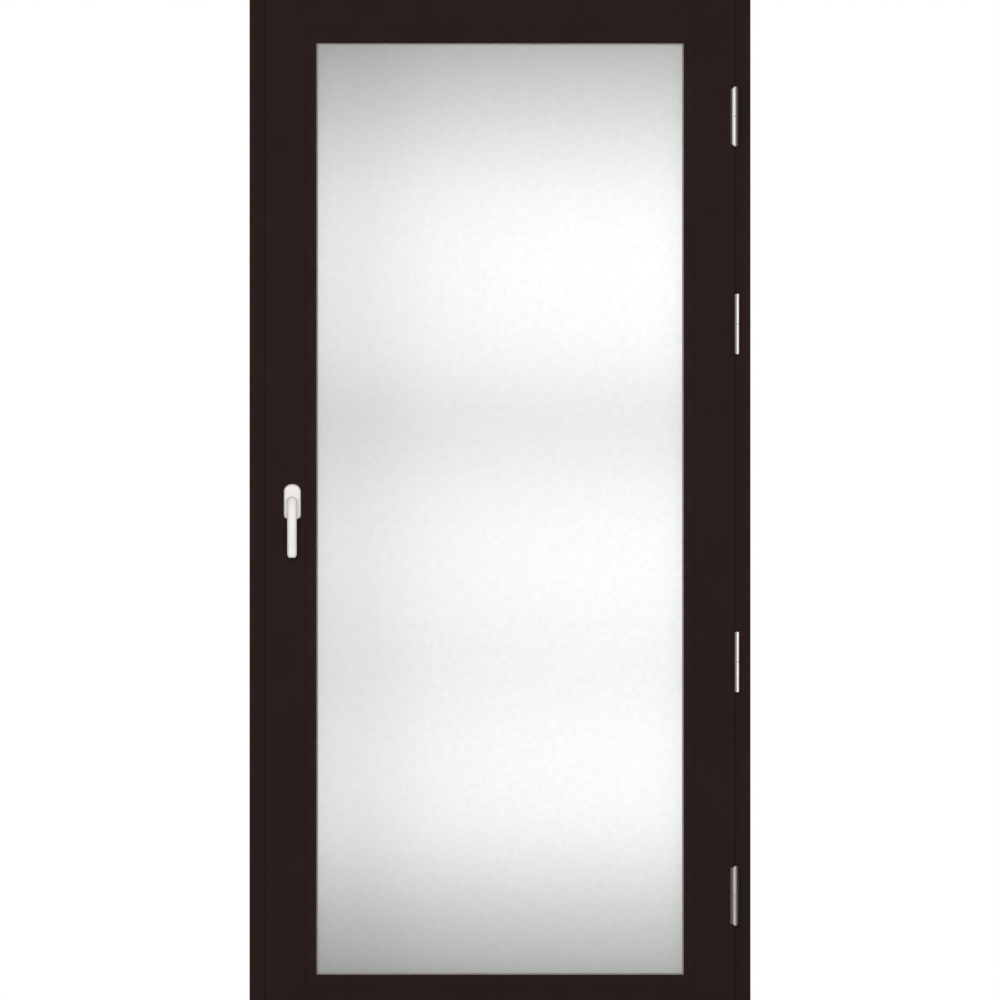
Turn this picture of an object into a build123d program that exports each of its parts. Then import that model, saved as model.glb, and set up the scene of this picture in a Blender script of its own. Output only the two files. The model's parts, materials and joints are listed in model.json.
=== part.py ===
from build123d import *
import os
from math import acos, ceil, cos, floor, pi, radians, sin, tan

os.makedirs("parts", exist_ok=True)

# A room-side view of a balcony door that opens into the room: a thermally broken
# aluminium frame and one glazed sash, hung on four hinges at the right.
# X runs across the door, Y from the room (minus) to outdoors (plus), Z up.
# The origin is the middle of the sill's underside, halfway through the frame's depth.

# Whole door
frame_width = 1000.0
frame_height = 2100.0
frame_depth = 70.0
sash_proud = 9.0

# Distances inwards from the frame's outer edge, called s in this file
frame_rebate = 36.0
sash_overlap = 4.0
edge_radius = 0.8
hardware_gap = 11.0
outdoor_rebate = 54.0
outdoor_gap = 5.5
stile_face = 101.0
rail_face = 88.0
bead_width = 22.0

# Aluminium sections
wall = 1.8
lip_wall = 1.6
frame_break = 24.0
sash_break_room = 8.0
gasket_leg_wall = 3.0
flange_depth = 4.0
flange_wall = 2.0
gasket_groove = 3.8

# Insulating strips and the jaws that grip their heads
strip_web = 2.0
strip_head = 3.4
strip_head_depth = 2.0
jaw_wall = 1.4
jaw_lip = 1.2
crimp_fit = 0.05
strip_gap = 0.2
frame_strip_s = 28.0
sash_strip_inset = 5.0

# The hardware groove along the sash's edge
groove_mouth = 12.0
groove_width = 18.0
groove_depth = 4.0
groove_from_face = 18.0

# Glazing: three panes with two spacers, set on blocks
pane = 4.0
cavity = 16.0
glass_gap = 6.5
outdoor_gasket = 4.0
room_gasket = 4.5
gasket_lip = 3.2
seal_depth = 5.0
spacer_depth = 7.0
spacer_wall = 0.8
block_length = 100.0
block_width = 40.0
bead_wall = 1.5
bead_fit = 0.1
bead_lug = 2.2
bead_lug_depth = 11.5
bead_leg = 1.2
bead_hook = 1.0

# Corner cleats
cleat_leg = 60.0
cleat_fit = 0.2
cleat_web = 4.0

# Seals
seal_clear = 0.3
centre_seal_width = 5.5
centre_seal_grip = 4.0
centre_seal_cap = 1.5

# Hinges: the upper two are placed from the top of the frame, the lower two from the sill
hinge_inset = 29.0
hinge_proud = 8.5
upper_hinge_drops = (267.0, 681.0)
lower_hinge_heights = (745.0, 278.5)
plated_hinges = (0, 3)
hinge_length = 120.0
knuckle_radius = 5.5
pin_radius = 3.0
pin_reach = 44.0
bush_radius = 4.2
collar = 1.0
leaf_height = 50.0
leaf_inset = 4.0
leaf_plate = 3.0
web_width = 5.0
frame_web_width = 6.0
running_fit = 0.05
plate_left = 6.5
plate_thick = 2.5
dome = 4.6
end_bevel = 0.6

# Screws for hinges and keeps
screw_radius = 2.5
screw_head = 4.5
screw_length = 16.0
screw_fit = 0.1
leaf_screw_inset = 12.0
drive_hex = 1.6
drive_depth = 1.4

# Handle
spindle_offset = 3.3
spindle_z = 1065.0
spindle_square = 7.0
rosette_width = 34.0
rosette_height = 70.0
rosette_depth = 11.0
rosette_top_radius = 15.5
rosette_low_radius = 8.0
rosette_edge = 2.2
rosette_wall = 1.6
base_depth = 7.0
base_recess = 1.0
rosette_screw_spacing = 43.0
neck_radius = 8.0
lever_width = 19.0
lever_top = 9.5
lever_reach = 112.0
lever_projection = 54.0
lever_thick = 12.0
lever_bevel = 2.6
lever_bend = 13.0

# Gearbox in the lock stile
gear_module = 1.6
gear_teeth = 14
gear_face = 10.0
pressure_angle = 20.0
tooth_share = 0.40
tooth_root = 2.0
journal_radius = 8.0
turn_degrees = 90.0
slide_thick = 5.0
slide_end = 8.0
slide_side = 9.0
window_gap = 1.0
tooth_sink = 1.0
case_wall = 1.7
case_front = 3.2
case_cover = 1.6
case_clear = 0.3
mortice_fit = 0.2
arm_height = 12.0
rib_width = 3.0
rib_gap = 0.1

# Drive rod, locking pins and keeps
rod_width = 17.0
rod_thick = 3.0
rod_corner = 5.5
rod_fit = 0.5
rod_end = 150.0
upper_pin_drops = (260.0, 730.0)
lower_pin_heights = (860.0, 260.0)
lock_pin_radius = 4.5
pin_gap = 4.6
keep_thick = 3.0
keep_height = 46.0
keep_lip = 0.8
keep_lip_width = 3.0
keep_depth = 21.0

# Fixing holes through the jambs, and drainage through the sill
fixing_radius = 4.0
end_fixing_inset = 150.0
middle_fixing_spacing = 400.0
drain_inset = 200.0
drain_length = 26.0
drain_height = 5.0
drain_z = 20.0
drain_cap = 6.0
drain_cap_side = 4.0
drain_cap_height = 15.0
drain_cap_edge = 1.5

# Places that follow from the sizes above
half_width = frame_width / 2
room_face = -frame_depth / 2
outdoor_face = frame_depth / 2
sash_face = room_face - sash_proud
flange_back = sash_face + flange_depth
frame_room_back = -frame_break / 2
outdoor_front = frame_break / 2
sash_edge = frame_rebate - sash_overlap
sash_back = frame_rebate + hardware_gap
sash_outdoor_edge = outdoor_rebate + outdoor_gap
stile_sight = sash_edge + stile_face
stile_extra = stile_face - rail_face
stile_inner = stile_sight - bead_width
glass_edge = stile_inner + glass_gap
groove_y = sash_face + groove_from_face
groove_floor = sash_back + lip_wall + groove_depth
glass_back = outdoor_face - wall - outdoor_gasket
glass_front = glass_back - 3 * pane - 2 * cavity
bead_back = glass_front - room_gasket
bead_lug_y = sash_face + bead_lug_depth
hinge_x = half_width - hinge_inset
hinge_y = sash_face - hinge_proud
hinge_heights = [frame_height - drop for drop in upper_hinge_drops] + list(lower_hinge_heights)
spindle_s = sash_edge + stile_face / 2 + spindle_offset
spindle_x = spindle_s - half_width
rod_bottom = rod_end
rod_top = frame_height - rod_end
pin_heights = [frame_height - drop for drop in upper_pin_drops] + list(lower_pin_heights)
drain_places = (drain_inset - half_width, 0.0, half_width - drain_inset)
front_centre = (0, frame_height / 2)
SIDES = ("top", "bottom", "lock", "hinge")


def front_plane(y):
    """The door's front view at depth y; an extrusion from it runs into the room."""
    return Plane.XZ.offset(-y)


def side_plane(side):
    """Across one member: x runs inwards from the frame's outer edge, y outdoors."""
    if side == "lock":
        return Plane(origin=(-half_width, 0, 0), x_dir=(1, 0, 0), z_dir=(0, 0, 1))
    if side == "hinge":
        return Plane(origin=(half_width, 0, frame_height), x_dir=(-1, 0, 0), z_dir=(0, 0, -1))
    if side == "top":
        return Plane(origin=(-half_width, 0, frame_height), x_dir=(0, 0, -1), z_dir=(1, 0, 0))
    return Plane(origin=(half_width, 0, 0), x_dir=(0, 0, 1), z_dir=(-1, 0, 0))


def upright(side):
    """True for a jamb or a stile, false for the head, the sill and the rails."""
    return side in ("lock", "hinge")


def corner_outline(side, joint_line, gap):
    """The member's front outline: the corner joint's line, less a gap, at both ends."""
    back_x, back_z = (0, gap) if upright(side) else (gap, 0)
    near = [(across - half_width + back_x, along + back_z) for across, along in joint_line]
    if upright(side):
        far = [(x, frame_height - z) for x, z in reversed(near)]
    else:
        far = [(-x, z) for x, z in reversed(near)]
    flip_x = -1 if side == "hinge" else 1
    outline = [(flip_x * x, z) for x, z in near + far]
    if side == "top":
        outline = [(x, frame_height - z) for x, z in outline]
    return outline


def member(side, section, joint_line, gap=0.0, shown=None):
    """One extruded bar of the frame or the sash, cut to its corner joints.

    The edges of the face that shows are rounded: "room" for the room side, "outdoor" for the other.
    """
    with BuildPart() as bar:
        with BuildSketch(side_plane(side)) as outline:
            section(side)
            if shown:
                face = outline.vertices().group_by(Axis.Y)[0 if shown == "room" else -1]
                fillet(face, radius=edge_radius)
        extrude(amount=frame_height if upright(side) else frame_width)
        with BuildSketch(Plane.XZ):
            with BuildLine():
                Polyline(*corner_outline(side, joint_line, gap), close=True)
            make_face()
        extrude(amount=2 * frame_depth, both=True, mode=Mode.INTERSECT)
    return bar.part


def block(s_from, s_to, y_from, y_to, mode=Mode.ADD):
    """A rectangle in the section between two distances and two depths."""
    with Locations(((s_from + s_to) / 2, (y_from + y_to) / 2)):
        Rectangle(abs(s_to - s_from), abs(y_to - y_from), mode=mode)


def hollow(s_from, s_to, y_from, y_to, thickness):
    """A rectangular tube's section."""
    block(s_from, s_to, y_from, y_to)
    block(s_from + thickness, s_to - thickness, y_from + thickness, y_to - thickness, Mode.SUBTRACT)


def jaws(s, y, towards, both_sides=True):
    """The hooked jaws that stand on a shell at depth y and hold one strip's head."""
    head_side = strip_head / 2 + crimp_fit
    head_top = y + towards * (strip_head_depth + crimp_fit)
    for side in (-1, 1) if both_sides else (1,):
        outer = s + side * (head_side + jaw_wall)
        block(s + side * head_side, outer, y, head_top + towards * jaw_lip)
        block(s + side * (strip_web / 2 + crimp_fit), outer, head_top, head_top + towards * jaw_lip)


def strip(s, y_room, y_outdoor, both_sides=True):
    """An insulating strip's section: a web with a wider head at each shell."""
    low = s - strip_head / 2 if both_sides else s - strip_web / 2
    block(s - strip_web / 2, s + strip_web / 2, y_room, y_outdoor)
    block(low, s + strip_head / 2, y_room, y_room + strip_head_depth)
    block(low, s + strip_head / 2, y_outdoor - strip_head_depth, y_outdoor)


def ring(s_outer, s_inner, extra=0.0):
    """A front-view ring; extra is how much wider the stiles are than the rails."""
    with Locations(front_centre):
        for s, mode in ((s_outer, Mode.ADD), (s_inner, Mode.SUBTRACT)):
            Rectangle(frame_width - 2 * s, frame_height - 2 * (s - extra), mode=mode)


def inner_edge(side):
    """Where the sash tubes end, which is nearer to the edge on the rails."""
    return stile_inner if upright(side) else stile_inner - stile_extra


edge_strip_s = strip_web / 2
sash_strip_s = sash_outdoor_edge + sash_strip_inset


def frame_room_section(side):
    """The frame's room shell: one tube with jaws for two strips."""
    hollow(0, frame_rebate, room_face, frame_room_back, wall)
    jaws(edge_strip_s, frame_room_back, 1, both_sides=False)
    jaws(frame_strip_s, frame_room_back, 1)


def frame_outdoor_section(side):
    """The frame's outdoor shell: a wider tube, and a leg that carries the centre seal."""
    hollow(0, outdoor_rebate, outdoor_front, outdoor_face, wall)
    block(outdoor_rebate - gasket_leg_wall, outdoor_rebate, 0, outdoor_front)
    jaws(edge_strip_s, outdoor_front, -1, both_sides=False)
    jaws(frame_strip_s, outdoor_front, -1)


def frame_strip_section(side):
    """The two strips that join the frame's shells, one flush with the outer face."""
    strip(edge_strip_s, frame_room_back, outdoor_front, both_sides=False)
    strip(frame_strip_s, frame_room_back, outdoor_front)


def sash_room_section(side):
    """The sash's room shell: a flange that laps the frame, a tube and the hardware groove."""
    inner = inner_edge(side)
    groove_low = groove_y - groove_width / 2
    groove_high = groove_y + groove_width / 2
    hollow(sash_back, inner, sash_face, -sash_break_room, wall)
    block(sash_edge, sash_back, sash_face, sash_face + flange_wall)
    block(sash_edge, sash_edge + lip_wall, sash_face, flange_back)
    seal_wall = sash_edge + lip_wall + gasket_groove
    block(seal_wall, seal_wall + lip_wall, sash_face, flange_back)
    block(sash_back, groove_floor + wall, groove_low - lip_wall, groove_high + lip_wall)
    block(sash_back + lip_wall, groove_floor, groove_low, groove_high, Mode.SUBTRACT)
    mouth = groove_mouth / 2
    block(sash_back, sash_back + lip_wall, groove_y - mouth, groove_y + mouth, Mode.SUBTRACT)
    jaws(sash_strip_s, -sash_break_room, 1)
    jaws(inner - sash_strip_inset - strip_head / 2, -sash_break_room, 1)
    block(inner, inner + bead_lug, bead_lug_y - lip_wall, bead_lug_y)


def sash_outdoor_section(side):
    """The sash's outdoor shell: a tube and the leg that holds the glass from outdoors."""
    inner = inner_edge(side)
    hollow(sash_outdoor_edge, inner, outdoor_front, outdoor_face, wall)
    block(inner, inner + bead_width, outdoor_face - wall, outdoor_face)
    jaws(sash_strip_s, outdoor_front, -1)
    jaws(inner - sash_strip_inset - strip_head / 2, outdoor_front, -1)


def sash_strip_section(side):
    """The two strips that join the sash's shells."""
    inner = inner_edge(side)
    strip(sash_strip_s, -sash_break_room, outdoor_front)
    strip(inner - sash_strip_inset - strip_head / 2, -sash_break_room, outdoor_front)


def bead_section(side):
    """The snap-in glazing bead: a face, a side towards the glass, a foot and a hooked leg."""
    start = inner_edge(side) + bead_fit
    end = inner_edge(side) + bead_width
    leg = inner_edge(side) + bead_lug + bead_fit
    block(start, end, sash_face, sash_face + bead_wall)
    block(end - bead_wall, end, sash_face, bead_back)
    block(leg + bead_leg, end, bead_back - bead_wall, bead_back)
    block(leg, leg + bead_leg, sash_face, bead_lug_y + bead_fit + bead_leg)
    hook_low = bead_lug_y + bead_fit
    block(leg - bead_hook, leg + bead_leg, hook_low, hook_low + bead_leg)


frame_joint = [(0, 0), (outdoor_rebate, outdoor_rebate)]
rail_inner = stile_inner - stile_extra
sash_joint = [(0, 0), (rail_inner, rail_inner), (stile_inner, rail_inner)]
sash_joint = sash_joint + [(stile_sight, stile_sight - stile_extra)]


def countersunk_screw(direction, length):
    """A countersunk screw with its head's face at the origin, and a hexagon drive."""
    with BuildPart(Plane(origin=(0, 0, 0), z_dir=direction)) as screw:
        low = (Align.CENTER, Align.CENTER, Align.MIN)
        Cylinder(radius=screw_radius, height=length, align=low)
        Cone(screw_head, screw_radius, screw_head - screw_radius, align=low)
        with BuildSketch(Plane(origin=(0, 0, 0), z_dir=direction)):
            RegularPolygon(radius=drive_hex, side_count=6)
        extrude(amount=drive_depth, mode=Mode.SUBTRACT)
    return screw.part


def countersunk_hole(direction, length):
    """The space that a countersunk screw needs, with its clearance."""
    with BuildPart(Plane(origin=(0, 0, 0), z_dir=direction)) as hole:
        low = (Align.CENTER, Align.CENTER, Align.MIN)
        wide = screw_head + screw_fit
        Cylinder(radius=screw_radius + screw_fit, height=length, align=low)
        Cone(wide, screw_radius + screw_fit, screw_head - screw_radius, align=low)
    return hole.part


# Places of the screws: a hinge leaf has two, a keep has two
frame_leaf_x = half_width - frame_rebate - leaf_plate
sash_leaf_x = half_width - sash_back + leaf_plate
leaf_screws = (leaf_inset + leaf_screw_inset, leaf_inset + leaf_height - leaf_screw_inset)
frame_leaf_screws = [(frame_leaf_x, groove_y, z - up) for z in hinge_heights for up in leaf_screws]
sash_leaf_screws = [(sash_leaf_x, groove_y, z + up) for z in hinge_heights for up in leaf_screws]
keep_x = frame_rebate + keep_thick - half_width
keep_screw_rise = keep_height / 2 - 2 * screw_radius - lip_wall
keep_screws = [(keep_x, groove_y, z + up) for z in pin_heights for up in (-keep_screw_rise, keep_screw_rise)]
fixing_y = (room_face + frame_room_back) / 2
fixing_spacings = (frame_height - 2 * end_fixing_inset, middle_fixing_spacing)
fixing_rises = [side * spacing / 2 for spacing in fixing_spacings for side in (-1, 1)]

# Frame, room side: the head, the sill and the two jambs
for side, name in zip(SIDES, ("head", "sill", "lock_jamb", "hinge_jamb")):
    tube = member(side, frame_room_section, frame_joint, shown="room")
    with BuildPart() as frame_room_shell:
        add(tube)
        if upright(side):
            outwards = 1 if side == "hinge" else -1
            face_x = outwards * (half_width - frame_rebate)
            screw_places = frame_leaf_screws if side == "hinge" else keep_screws
            with Locations(*[(face_x, y, z) for _, y, z in screw_places]):
                Cylinder(
                    radius=screw_radius, height=4 * wall, rotation=(0, 90, 0), mode=Mode.SUBTRACT
                )
            middle_x = outwards * (half_width - frame_rebate / 2)
            with Locations(*[(middle_x, fixing_y, frame_height / 2 + rise) for rise in fixing_rises]):
                Cylinder(
                    radius=fixing_radius, height=2 * frame_rebate, rotation=(0, 90, 0), mode=Mode.SUBTRACT
                )
    frame_room_shell.part.label = "frame_" + name + "_inner"
    export_step(frame_room_shell.part, "parts/frame_" + name + "_inner.step")

# Frame, outdoor side, with the drain slots in the sill
for side, name in zip(SIDES, ("head", "sill", "lock_jamb", "hinge_jamb")):
    tube = member(side, frame_outdoor_section, frame_joint, shown="outdoor")
    with BuildPart() as frame_outdoor_shell:
        add(tube)
        if side == "bottom":
            with BuildSketch(front_plane(outdoor_face)):
                with Locations(*[(x, drain_z) for x in drain_places]):
                    SlotOverall(drain_length, drain_height)
            extrude(amount=2 * wall, mode=Mode.SUBTRACT)
            with BuildSketch(Plane.XY.offset(outdoor_rebate)):
                with Locations(*[(x, (outdoor_front + outdoor_face) / 2) for x in drain_places]):
                    SlotOverall(drain_length, drain_height)
            extrude(amount=-2 * wall, mode=Mode.SUBTRACT)
    frame_outdoor_shell.part.label = "frame_" + name + "_outer"
    export_step(frame_outdoor_shell.part, "parts/frame_" + name + "_outer.step")

# The frame's insulating strips, two in each member
strip_bars = [member(side, frame_strip_section, frame_joint, strip_gap) for side in SIDES]
with BuildPart() as frame_thermal_strips:
    add(strip_bars)
frame_thermal_strips.part.label = "frame_thermal_strips"
export_step(frame_thermal_strips.part, "parts/frame_thermal_strips.step")


def corner_cleats(s_from, s_to, y_from, y_to):
    """L-shaped cleats in a tube's four corners, given the tube's outer faces."""
    inset = wall + cleat_fit
    start, stop = s_from + inset, s_to - inset
    reach = stop + cleat_leg
    heel = [(start, start), (reach, start), (reach, stop), (stop, stop), (stop, reach), (start, reach)]
    window = stop - start - 2 * cleat_web
    leg_window = cleat_leg - cleat_web
    heel_spot = start + cleat_web
    spots = [(heel_spot, heel_spot, window, window)]
    spots = spots + [(stop, heel_spot, leg_window, window), (heel_spot, stop, window, leg_window)]
    with BuildSketch(front_plane(y_to - inset)) as outline:
        for flip_x in (-1, 1):
            for low in (True, False):
                corner = [(flip_x * (half_width - a), b if low else frame_height - b) for a, b in heel]
                with BuildLine():
                    Polyline(*corner, close=True)
                make_face()
                for a, b, wide, tall in spots:
                    centre_z = b + tall / 2 if low else frame_height - b - tall / 2
                    with Locations((flip_x * (half_width - a - wide / 2), centre_z)):
                        Rectangle(wide, tall, mode=Mode.SUBTRACT)
    return extrude(outline.sketch, amount=y_to - y_from - 2 * inset)


room_cleats = corner_cleats(0, frame_rebate, room_face, frame_room_back)
outdoor_cleats = corner_cleats(0, outdoor_rebate, outdoor_front, outdoor_face)
with BuildPart() as frame_corner_cleats:
    add(room_cleats)
    add(outdoor_cleats)
frame_corner_cleats.part.label = "frame_corner_cleats"
export_step(frame_corner_cleats.part, "parts/frame_corner_cleats.step")

# The centre seal: a saddle over the frame's leg and a lip towards the sash
seal_side = (centre_seal_width - gasket_leg_wall) / 2
leg_from = outdoor_rebate - gasket_leg_wall
seal_layers = (
    (leg_from - seal_side, leg_from, 0, centre_seal_grip),
    (outdoor_rebate, outdoor_rebate + seal_side, 0, centre_seal_grip),
    (leg_from - seal_side, outdoor_rebate + seal_side, -centre_seal_cap, 0),
    (leg_from - seal_side, outdoor_rebate - seal_side, seal_clear - sash_break_room, -centre_seal_cap),
)
with BuildPart() as centre_gasket:
    for s_outer, s_inner, y_from, y_to in seal_layers:
        with BuildSketch(front_plane(y_to)):
            ring(s_outer, s_inner)
        extrude(amount=y_to - y_from)
centre_gasket.part.label = "centre_gasket"
export_step(centre_gasket.part, "parts/centre_gasket.step")

# Drain caps over the slots in the sill, open underneath
with BuildPart() as drain_caps:
    with BuildSketch(front_plane(outdoor_face + drain_cap)):
        with Locations(*[(x, drain_z) for x in drain_places]):
            RectangleRounded(drain_length + 2 * drain_cap_side, drain_cap_height, drain_height / 2)
    extrude(amount=drain_cap)
    outer_faces = drain_caps.faces().filter_by(Axis.Y).group_by(Axis.Y)[-1]
    fillet(outer_faces.edges(), radius=drain_cap_edge)
    with BuildSketch(front_plane(outdoor_face + drain_cap - lip_wall)):
        with Locations(*[(x, drain_z - drain_height) for x in drain_places]):
            Rectangle(drain_length, drain_cap_height)
    extrude(amount=drain_cap, mode=Mode.SUBTRACT)
drain_caps.part.label = "drain_caps"
export_step(drain_caps.part, "parts/drain_caps.step")

# Keeps on the lock jamb: a plate in the rebate with a low lip on the room side
keep_hole = countersunk_hole((-1, 0, 0), screw_length)
with BuildPart() as lock_keeps:
    for z in pin_heights:
        with BuildSketch(Plane.XY.offset(z - keep_height / 2)):
            with Locations((keep_x - keep_thick / 2, room_face + keep_depth / 2)):
                Rectangle(keep_thick, keep_depth)
            with Locations((keep_x + keep_lip / 2, room_face + keep_lip_width / 2)):
                Rectangle(keep_lip, keep_lip_width)
        extrude(amount=keep_height)
    with Locations(*keep_screws):
        add(keep_hole, mode=Mode.SUBTRACT)
lock_keeps.part.label = "lock_keeps"
export_step(lock_keeps.part, "parts/lock_keeps.step")

# Screws in the frame: two for each hinge leaf and two for each keep
right_screw = countersunk_screw((1, 0, 0), screw_length)
left_screw = countersunk_screw((-1, 0, 0), screw_length)
with BuildPart() as frame_screws:
    with Locations(*frame_leaf_screws):
        add(right_screw)
    with Locations(*keep_screws):
        add(left_screw)
frame_screws.part.label = "frame_screws"
export_step(frame_screws.part, "parts/frame_screws.step")

# Hinges: the lower knuckle belongs to the frame, the upper one to the sash
web_x = hinge_x - web_width / 2
frame_leaf_hole = countersunk_hole((1, 0, 0), screw_length)
sash_leaf_hole = countersunk_hole((-1, 0, 0), screw_length)
knuckle_length = (hinge_length - collar) / 2
frame_wall_x = half_width - frame_rebate
sash_wall_x = half_width - sash_back
leaf_reach = room_face + keep_depth


def rectangle_between(x_from, x_to, y_from, y_to):
    """A rectangle in plan between two corners."""
    with Locations(((x_from + x_to) / 2, (y_from + y_to) / 2)):
        Rectangle(abs(x_to - x_from), abs(y_to - y_from))


for number, z in enumerate(hinge_heights):
    plated = number in plated_hinges
    with BuildPart() as frame_leaf:
        with BuildSketch(Plane.XY.offset(z - leaf_inset - leaf_height)):
            rectangle_between(web_x, web_x + frame_web_width, hinge_y, room_face)
            rectangle_between(frame_leaf_x, web_x + frame_web_width, room_face - leaf_plate, room_face)
            rectangle_between(frame_leaf_x, frame_wall_x, room_face - leaf_plate, leaf_reach)
        extrude(amount=leaf_height)
        with BuildSketch(Plane.XY.offset(z - collar / 2 - knuckle_length)):
            with Locations((hinge_x, hinge_y)):
                Circle(knuckle_radius)
        extrude(amount=knuckle_length)
        bottom = frame_leaf.faces().sort_by(Axis.Z)[0].edges()
        if plated:
            fillet(bottom, radius=dome)
        else:
            chamfer(bottom, length=end_bevel)
        with BuildSketch(Plane.XY.offset(z - collar / 2 - pin_reach)):
            with Locations((hinge_x, hinge_y)):
                Circle(pin_radius + crimp_fit)
        extrude(amount=pin_reach, mode=Mode.SUBTRACT)
        with Locations(*[(frame_leaf_x, groove_y, z - up) for up in leaf_screws]):
            add(frame_leaf_hole, mode=Mode.SUBTRACT)
    frame_leaf.part.label = f"hinge_frame_leaf_{number + 1}"
    export_step(frame_leaf.part, f"parts/hinge_frame_leaf_{number + 1}.step")

    with BuildPart() as sash_leaf:
        with BuildSketch(Plane.XY.offset(z + leaf_inset)):
            rectangle_between(web_x, web_x + web_width, hinge_y, flange_back + leaf_plate)
            rectangle_between(sash_wall_x, web_x + web_width, flange_back, flange_back + leaf_plate)
            rectangle_between(sash_wall_x, sash_leaf_x, flange_back, leaf_reach)
            boss_side = groove_mouth / 2 - crimp_fit
            boss_end = half_width - groove_floor
            rectangle_between(boss_end, sash_wall_x, groove_y - boss_side, groove_y + boss_side)
        extrude(amount=leaf_height)
        with BuildSketch(Plane.XY.offset(z + collar / 2)):
            with Locations((hinge_x, hinge_y)):
                Circle(knuckle_radius)
        extrude(amount=knuckle_length)
        top = sash_leaf.faces().sort_by(Axis.Z)[-1].edges()
        if plated:
            fillet(top, radius=dome)
        else:
            chamfer(top, length=end_bevel)
        if plated:
            plate_right = hinge_x - knuckle_radius + lip_wall / 2
            with BuildSketch(front_plane(sash_face)):
                with Locations((plate_right - plate_left / 2, z)):
                    RectangleRounded(plate_left, hinge_length - 2 * leaf_inset, lip_wall)
            extrude(amount=plate_thick)
            with BuildSketch(Plane.XY.offset(z + leaf_inset)):
                rectangle_between(plate_right - lip_wall, hinge_x, hinge_y, sash_face - end_bevel)
            extrude(amount=leaf_height)
        with BuildSketch(Plane.XY.offset(z + collar / 2)):
            with Locations((hinge_x, hinge_y)):
                Circle(bush_radius + crimp_fit)
        extrude(amount=pin_reach + collar, mode=Mode.SUBTRACT)
        with Locations(*[(sash_leaf_x, groove_y, z + up) for up in leaf_screws]):
            add(sash_leaf_hole, mode=Mode.SUBTRACT)
    sash_leaf.part.label = f"hinge_sash_leaf_{number + 1}"
    export_step(sash_leaf.part, f"parts/hinge_sash_leaf_{number + 1}.step")

# Hinge pins stand in the frame leaves and reach up into the bushes
hinge_places = [(hinge_x, hinge_y, z) for z in hinge_heights]
with BuildPart() as hinge_pins:
    with Locations(*hinge_places):
        Cylinder(radius=pin_radius, height=2 * pin_reach)
    chamfer(hinge_pins.edges().filter_by(GeomType.CIRCLE), length=end_bevel)
hinge_pins.part.label = "hinge_pins"
export_step(hinge_pins.part, "parts/hinge_pins.step")

# Collared plastic bushes in the sash leaves carry the sash's weight
with BuildPart() as hinge_bushes:
    for z in hinge_heights:
        with BuildSketch(Plane.XY.offset(z - collar / 2)):
            with Locations((hinge_x, hinge_y)):
                Circle(knuckle_radius - end_bevel / 2)
        extrude(amount=collar)
        with BuildSketch(Plane.XY.offset(z + collar / 2)):
            with Locations((hinge_x, hinge_y)):
                Circle(bush_radius)
        extrude(amount=pin_reach)
        with BuildSketch(Plane.XY.offset(z - collar / 2)):
            with Locations((hinge_x, hinge_y)):
                Circle(pin_radius + running_fit)
        extrude(amount=pin_reach + collar, mode=Mode.SUBTRACT)
hinge_bushes.part.label = "hinge_bushes"
export_step(hinge_bushes.part, "parts/hinge_bushes.step")

# Gear sizes: the pinion's pitch circle rolls on the slide's rack
pitch_radius = gear_module * gear_teeth / 2
tip_radius = pitch_radius + gear_module
root_radius = pitch_radius - tooth_root
travel = pitch_radius * radians(turn_degrees)
tooth_pitch = pi * gear_module
tooth_half = tooth_share * tooth_pitch / 2
base_radius = pitch_radius * cos(radians(pressure_angle))

# The slide: a plate with a window round the pinion, whose far side is the rack
window_left = spindle_s - tip_radius - window_gap
rack_root = spindle_s + pitch_radius + tooth_root
slide_left = window_left - slide_side
slide_right = rack_root + slide_side / 2
window_low = -tip_radius - window_gap - travel
window_high = tip_radius + window_gap
slide_low = window_low - slide_end
slide_high = window_high + slide_end
arm_low = slide_low
rod_s = sash_back + lip_wall + rod_fit
arm_end = rod_s + rod_thick / 2

# The gearbox case round the slide and its travel
cavity_low = slide_low - case_clear
cavity_high = slide_high + travel + case_clear
cavity_left = slide_left - case_clear
cavity_right = slide_right + case_clear
case_left = groove_floor + case_clear
case_right = cavity_right + case_wall
case_low = cavity_low - case_wall
case_high = cavity_high + case_wall
gear_from = groove_y - gear_face / 2
gear_to = groove_y + gear_face / 2
cavity_from = gear_from - case_clear
cavity_to = gear_to + case_clear
case_from = cavity_from - case_front
cover_to = cavity_to + case_cover

# Sash, room side; the lock stile is cut for the gearbox, the spindle and the screws
half_spacing = rosette_screw_spacing / 2
for side, name in zip(SIDES, ("top_rail", "bottom_rail", "lock_stile", "hinge_stile")):
    tube = member(side, sash_room_section, sash_joint, shown="room")
    with BuildPart() as sash_room_shell:
        add(tube)
        if side == "lock":
            mortice_x = groove_floor - half_width
            mortice_y = (case_from + cover_to) / 2
            mortice_z = spindle_z + (case_low + case_high) / 2
            with Locations((mortice_x, mortice_y, mortice_z)):
                Box(
                    4 * groove_depth,
                    cover_to - case_from + 2 * mortice_fit,
                    case_high - case_low + 2 * mortice_fit,
                    mode=Mode.SUBTRACT,
                )
            with BuildSketch(front_plane(sash_face + 2 * wall)):
                with Locations((spindle_x, spindle_z)):
                    Circle(neck_radius + screw_fit)
                with Locations((spindle_x, spindle_z + half_spacing), (spindle_x, spindle_z - half_spacing)):
                    Circle(screw_radius + screw_fit)
            extrude(amount=4 * wall, mode=Mode.SUBTRACT)
        if side == "hinge":
            floor_x = half_width - groove_floor - wall / 2
            with Locations(*[(floor_x, y, z) for _, y, z in sash_leaf_screws]):
                Cylinder(
                    radius=screw_radius, height=4 * wall, rotation=(0, 90, 0), mode=Mode.SUBTRACT
                )
    sash_room_shell.part.label = name + "_inner"
    export_step(sash_room_shell.part, "parts/" + name + "_inner.step")

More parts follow.
